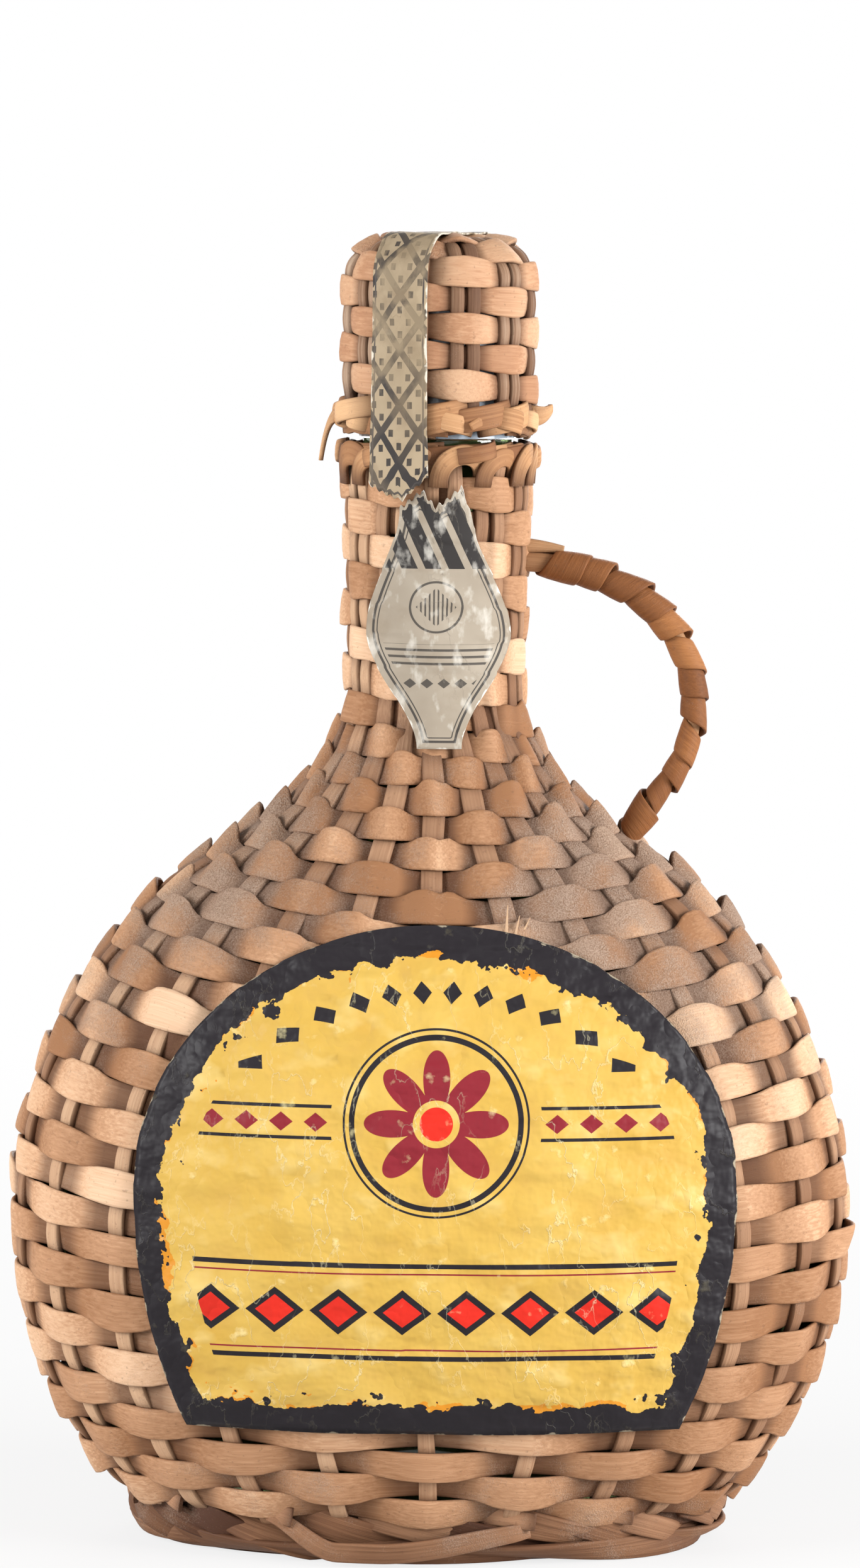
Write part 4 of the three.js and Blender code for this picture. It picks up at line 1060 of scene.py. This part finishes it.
def worn_paper(name, shine):
    """A finish with its place on the sheet, creases where a slow noise crosses its middle, rubbed
    patches where a fine one is high, stains, and chips along the edge."""
    p = Finish(name, **{"Specular IOR Level": shine})
    place = p.attribute("place", 1)
    x, z, edge = p.parts(place)
    slow = p.noise(place, 0.62, 3.0, FLAT)
    fold = p.noise(place, 1.35, 6.0, (1.0, 0.55, 0.0))
    crease = (1 - p.clamp(abs(fold - 0.5), 0.0, 0.009)) * p.clamp(slow, 0.45, 0.62)
    rub = p.clamp(p.noise(place, 2.4, 8.0, FLAT), 0.64, 0.74)
    stain = p.clamp(p.noise(place, 1.1, 5.0, FLAT), 0.5, 0.8)
    chip = p.clamp(edge + (p.noise(place, 3.0, 6.0, FLAT) - 0.5) * 0.3, 0.0, -0.02)
    return p, place, x, z, edge, slow, crease, rub, stain, chip


def lozenges(p, across, along, pitch, size):
    """One inside a row of lozenges, where the distance along to the nearest middle plus the distance
    across is under a size."""
    wrapped = p.zigzag(along + 100 * pitch, pitch / 2)
    return (pitch / 2 - wrapped) * 0.8 + abs(across) < size


print("worn paper with creases, rubbed patches, stains and chips")

# %% [markdown]
# The label has a torn dark frame with a scorched edge. Its field is yellow, dented by the weave, with a
# painted highlight on each dent and painted shade beside it.

# %% Print the label
def label_paper():
    """A dark frame with an amber edge, a rosette of eight petals, two ruled bands and rows of
    lozenges, on a yellow field."""
    p, place, x, z, edge, slow, crease, rub, stain, chip = worn_paper("label_paper", 0.18)
    dark, amber, maroon, red = tint(31, 27, 31), tint(206, 132, 30), tint(130, 34, 44), tint(208, 42, 28)
    frame_width, rosette_z, band_z, clear = 0.52, 5.7, 2.3, 1.9
    dent = p.noise(place, 1.0, 3.0, (1.0, 1.3, 0.0))
    p.ground(p.clamp(slow, 0.3, 0.7), tint(196, 157, 68), tint(208, 173, 88))
    p.lay(stain * 0.45, tint(197, 153, 74))
    # Painted highlight where the dents rise and painted shade where they sink.
    p.lay(p.clamp(dent, 0.54, 0.7) * 0.3, tint(236, 218, 156))
    p.lay(p.clamp(dent, 0.44, 0.3) * 0.4, tint(195, 155, 78))
    torn = (p.noise(place, 3.2, 6.0) - 0.5) * 0.55 + (p.noise(place, 0.9, 2.0) - 0.5) * 0.5
    ragged = edge + torn - p.clamp(p.noise(place, 2.3, 3.0, FLAT), 0.58, 0.74) * 0.4
    scorch = p.clamp(p.noise(place, 1.1, 3.0), 0.52, 0.62)
    p.lay((ragged < frame_width + scorch * 0.14) * 0.9, amber)
    p.lay(ragged < frame_width, dark)
    up = z - rosette_z
    radius, turn = p.distance(x, up), p.math("ARCTAN2", x, up)
    petal = abs(p.math("COSINE", turn * 4.0))
    p.lay((radius < 0.55 + petal * 0.75) * (radius > 0.42), maroon)
    p.lay(radius < 0.3, red)
    for ring, half in ((1.52, 0.05), (1.66, 0.02)):
        p.lay(abs(radius - ring) < half, dark)
    inside = (edge > 1.0) * (radius > clear)
    for height, half, ink in ((5.98, 0.03, dark), (5.42, 0.03, dark), (3.15, 0.045, dark),
                              (1.45, 0.045, dark), (3.0, 0.015, maroon), (1.6, 0.015, maroon)):
        p.lay((abs(z - height) < half) * inside, ink)
    p.lay(lozenges(p, up, x, 0.62, 0.17) * inside, maroon)
    for size, ink in ((0.42, dark), (0.28, red)):
        p.lay(lozenges(p, z - band_z, x, 1.15, size) * inside, ink)
    arch = lozenges(p, edge - 1.15, turn * 3.4, 0.8, 0.2)
    p.lay(arch * ((z > 6.6) * (radius > clear)), dark)
    field = 0.1 + (ragged > frame_width) * 0.9
    p.lay(rub * field * 0.45, tint(246, 232, 176))
    p.lay(crease * field * 0.4, tint(248, 238, 196))
    p.lay(chip * 0.6, tint(196, 182, 156))
    wrinkle = abs(p.noise(place, 0.7, 4.0, (1.0, 0.8, 0.0)) - 0.5)
    p.bumped(slow * 0.6 + dent + wrinkle * 1.6 + crease * 0.1 + rub * 0.1, 0.0018, 0.8)
    return p.paint(rub * 0.2 + stain * 0.1 + 0.45)


mesh_piece("printed_label", [label], "flask", label_paper(), "front_label")
print("label printed")

# %% [markdown]
# The neck seal and the strip are printed in one dark ink on greyed paper.

# %% Print the neck seal and the strip
def seal_paper():
    """Pale grey with a double frame, a ruled band across the waist, a lozenge in a ring above it and
    a dark striped top, rubbed pale in places."""
    p, place, x, z, edge, slow, crease, rub, stain, chip = worn_paper("seal_paper", 0.12)
    ink, faded = tint(54, 51, 50), 0.85
    p.ground(p.clamp(slow, 0.3, 0.7), tint(146, 134, 118), tint(175, 164, 148))
    p.lay(stain * 0.8, tint(130, 114, 94))
    for line, half in ((0.13, 0.022), (0.2, 0.01)):
        p.lay((abs(edge - line) < half) * 0.9, ink)
    inside, up = edge > 0.26, z - 2.6
    rules = p.zigzag(z * 8.0, 0.5) > 0.32
    p.lay(rules * (abs(z - 1.72) < 0.2) * inside * faded, ink)
    p.lay((abs(p.distance(x, up) - 0.46) < 0.02) * faded, ink)
    hatch = p.zigzag(x * 13.0, 0.5) > 0.3
    p.lay((abs(x) + abs(up) < 0.36) * hatch * faded, ink)
    p.lay(lozenges(p, z - 1.2, x, 0.3, 0.09) * inside * faded, ink)
    rays = p.zigzag(x * 2.4 + z * 1.1, 0.5) > 0.16
    p.lay((z > 3.3) * rays * (edge > 0.05), ink)
    fade = p.clamp(p.noise(place, 2.7, 9.0, (1.4, 0.7, 0.0)), 0.54, 0.68)
    p.lay(p.math("MAXIMUM", rub, fade) * 0.65, tint(214, 209, 199))
    p.lay(crease * 0.45, tint(140, 131, 118))
    p.lay(chip, tint(222, 218, 208))
    p.bumped(slow * 0.4 + crease * 0.4, 0.0003, 0.7)
    return p.paint(rub * 0.1 + 0.62)


def strip_paper():
    """A charcoal lattice with a dark seed in each pale lozenge, rubbed through in places."""
    p, place, x, z, edge, slow, crease, rub, stain, chip = worn_paper("strip_paper", 0.12)
    first, second = (p.zigzag(line + 50, 0.36) for line in (x + z * 0.72, x - z * 0.72))
    beige = p.mix(stain, tint(168, 150, 124), tint(118, 99, 77))
    p.ground((first > 0.075) * (second > 0.075), tint(58, 54, 53), beige)
    p.lay((abs(first - 0.2) + abs(second - 0.2)) < 0.09, tint(64, 59, 56))
    p.lay(abs(edge - 0.06) < 0.016, tint(70, 66, 65))
    p.lay(rub * 0.7, tint(178, 166, 144))
    p.lay(p.clamp(slow, 0.42, 0.6) * 0.5, tint(150, 132, 107))
    thin = p.clamp(p.noise(place, 2.6, 8.0, (1.0, 0.7, 0.0)), 0.42, 0.56) * p.clamp(z, 0.8, 2.6)
    p.lay(thin * 0.75, p.mix(stain, tint(150, 133, 108), tint(120, 99, 76)))
    p.lay(chip, tint(206, 198, 182))
    p.bumped(slow * 0.4 + crease * 0.4, 0.0003, 0.7)
    return p.paint(rub * 0.1 + 0.6)


mesh_piece("printed_neck_seal", [seal], "flask", seal_paper(), "neck_seal")
mesh_piece("printed_seal_strip", [ribbon], "hood", strip_paper(), "seal_strip")
print("neck seal and strip printed")

# %% [markdown]
# ## Glass, cork and cap
# These three keep their CAD shapes, because they are plain turned or blown forms and hardly show.
# The glass is green and lets light through, the cork has dark pores, and the cap is a glossy pale
# plastic with fine scuffs.

# %% Finishes for the pieces inside
glass = Finish("flask_glass", **{"Transmission Weight": 0.85, "IOR": 1.5})
cloud = glass.noise(glass.place(), 60.0, 3.0)
glass.ground(cloud, tint(96, 116, 70), tint(120, 138, 88))
cork = Finish("cork_bark", **{"Specular IOR Level": 0.2})
bark = cork.noise(cork.place(), 260.0, 6.0)
pores = cork.clamp(cork.noise(cork.place(), 620.0, 2.0), 0.6, 0.68)
cork.ground(bark, tint(168, 122, 80), tint(206, 166, 120))
cork.lay(pores, tint(94, 62, 40))
cork.bumped(bark - pores * 0.6, 0.0004)
cap = Finish("cap_plastic", **{"Coat Roughness": 0.1})
scuff = cap.noise(cap.place(), 300.0, 5.0)
# The left half of the cap is laid a dark brown, with an uneven edge.
left_half_dark = cap.clamp(cap.parts(cap.place())[0] + (scuff - 0.5) * 0.006, 0.003, -0.002)
cap.ground(scuff, tint(176, 192, 208), tint(202, 214, 226))
cap.lay(left_half_dark, tint(92, 70, 54))
for node, finish, roughness in (("glass_flask", glass, cloud * 0.08 + 0.04),
                                ("cork_stopper", cork, bark * 0.2 + 0.7),
                                ("stopper_cap", cap, cap.clamp(scuff, 0.4, 0.8) * 0.25 + 0.18)):
    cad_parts[node].data.materials.clear()
    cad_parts[node].data.materials.append(finish.paint(roughness))
print("glass, cork and cap finished")

# %% [markdown]
# ## Floor, light and camera
# The flask stands on a plain pale floor, with a large soft lamp on each side, weaker ones in front
# and behind, and a pale sky. The floor and the sky look white to the camera, and the floor keeps
# the shadow. The camera is a metre away, slightly above, and looks a little down, so that the foot
# and the top of the hood show their curves.

# %% Stage
FLOOR_HALF = 6
BRIGHT = (1, 1, 1, 1)
floor_mesh = bpy.data.meshes.new("floor")
corners = [(FLOOR_HALF * x, FLOOR_HALF * y, 0) for x, y in ((-1, -1), (1, -1), (1, 1), (-1, 1))]
floor_mesh.from_pydata(corners, [], [(0, 1, 2, 3)])
floor = put_in_scene("floor", floor_mesh)
pale = Finish("pale_floor", **{"Specular IOR Level": 0.0})
pale.ground(pale.noise(pale.place(), 3.0, 2.0), (0.66, 0.66, 0.66, 1), (0.7, 0.7, 0.7, 1))
floor_mesh.materials.append(pale.paint(0.9))
far = pale.clamp(pale.distance(*pale.parts(pale.place())[:2]), 0.1, 0.6)
white = pale.node("Emission", {}, {"Color": BRIGHT, "Strength": 1.0})
own = Sock(pale, pale.shader.outputs[0])
surface = pale.node("MixShader", {}, {0: pale.looked_at() * (far * 0.2 + 0.8), 1: own, 2: white})
pale.feed(pale.tree.nodes["Material Output"], {"Surface": surface})

sky = Finish("soft_sky", bpy.data.worlds, "Background", Color=BRIGHT)
sky.feed(sky.shader, {"Strength": sky.looked_at() * 0.75 + 0.25})
bpy.context.scene.world = sky.material
print("a floor", 2 * FLOOR_HALF, "metres wide, under a pale sky")


# %% Lamps and camera
def soft_lamp(name, place, aim_height, size, power):
    """A square lamp turned so that it faces a point on the flask's axis."""
    lamp = bpy.data.lights.new(name, "AREA")
    lamp.size, lamp.energy = size, power
    holder = put_in_scene(name, lamp)
    direction = Vector((0, 0, aim_height)) - Vector(place)
    holder.location = place
    holder.rotation_euler = direction.to_track_quat("-Z", "Y").to_euler()


soft_lamp("left_lamp", (-0.95, -0.45, 0.45), 0.11, 0.5, 12.8)
soft_lamp("right_lamp", (0.95, -0.4, 0.36), 0.11, 0.5, 17.0)
soft_lamp("front_lamp", (-0.15, -1.3, 0.45), 0.1, 0.6, 2.2)
soft_lamp("back_lamp", (0.2, 1.2, 0.45), 0.1, 0.7, 9.0)

SENSOR, FOCAL_PIXELS, FRAME_PIXELS = 36.0, 8575, 2491
CAMERA_AWAY, CAMERA_Z, AIM_X, AIM_Z, CAMERA_ROLL = 1.0, 0.243, -0.0008, 0.1413, 0.6
lens = bpy.data.cameras.new("camera")
lens.sensor_width, lens.lens = SENSOR, FOCAL_PIXELS / FRAME_PIXELS * SENSOR
camera = put_in_scene("camera", lens)
camera.location = (0, -CAMERA_AWAY, CAMERA_Z)
camera.rotation_mode = "QUATERNION"
gaze = Vector((AIM_X, CAMERA_AWAY, AIM_Z - CAMERA_Z)).to_track_quat("-Z", "Y")
roll = Matrix.Rotation(np.radians(CAMERA_ROLL), 4, "Z").to_quaternion()
camera.rotation_quaternion = gaze @ roll
bpy.context.scene.camera = camera
bpy.context.scene.view_settings.view_transform = "Standard"
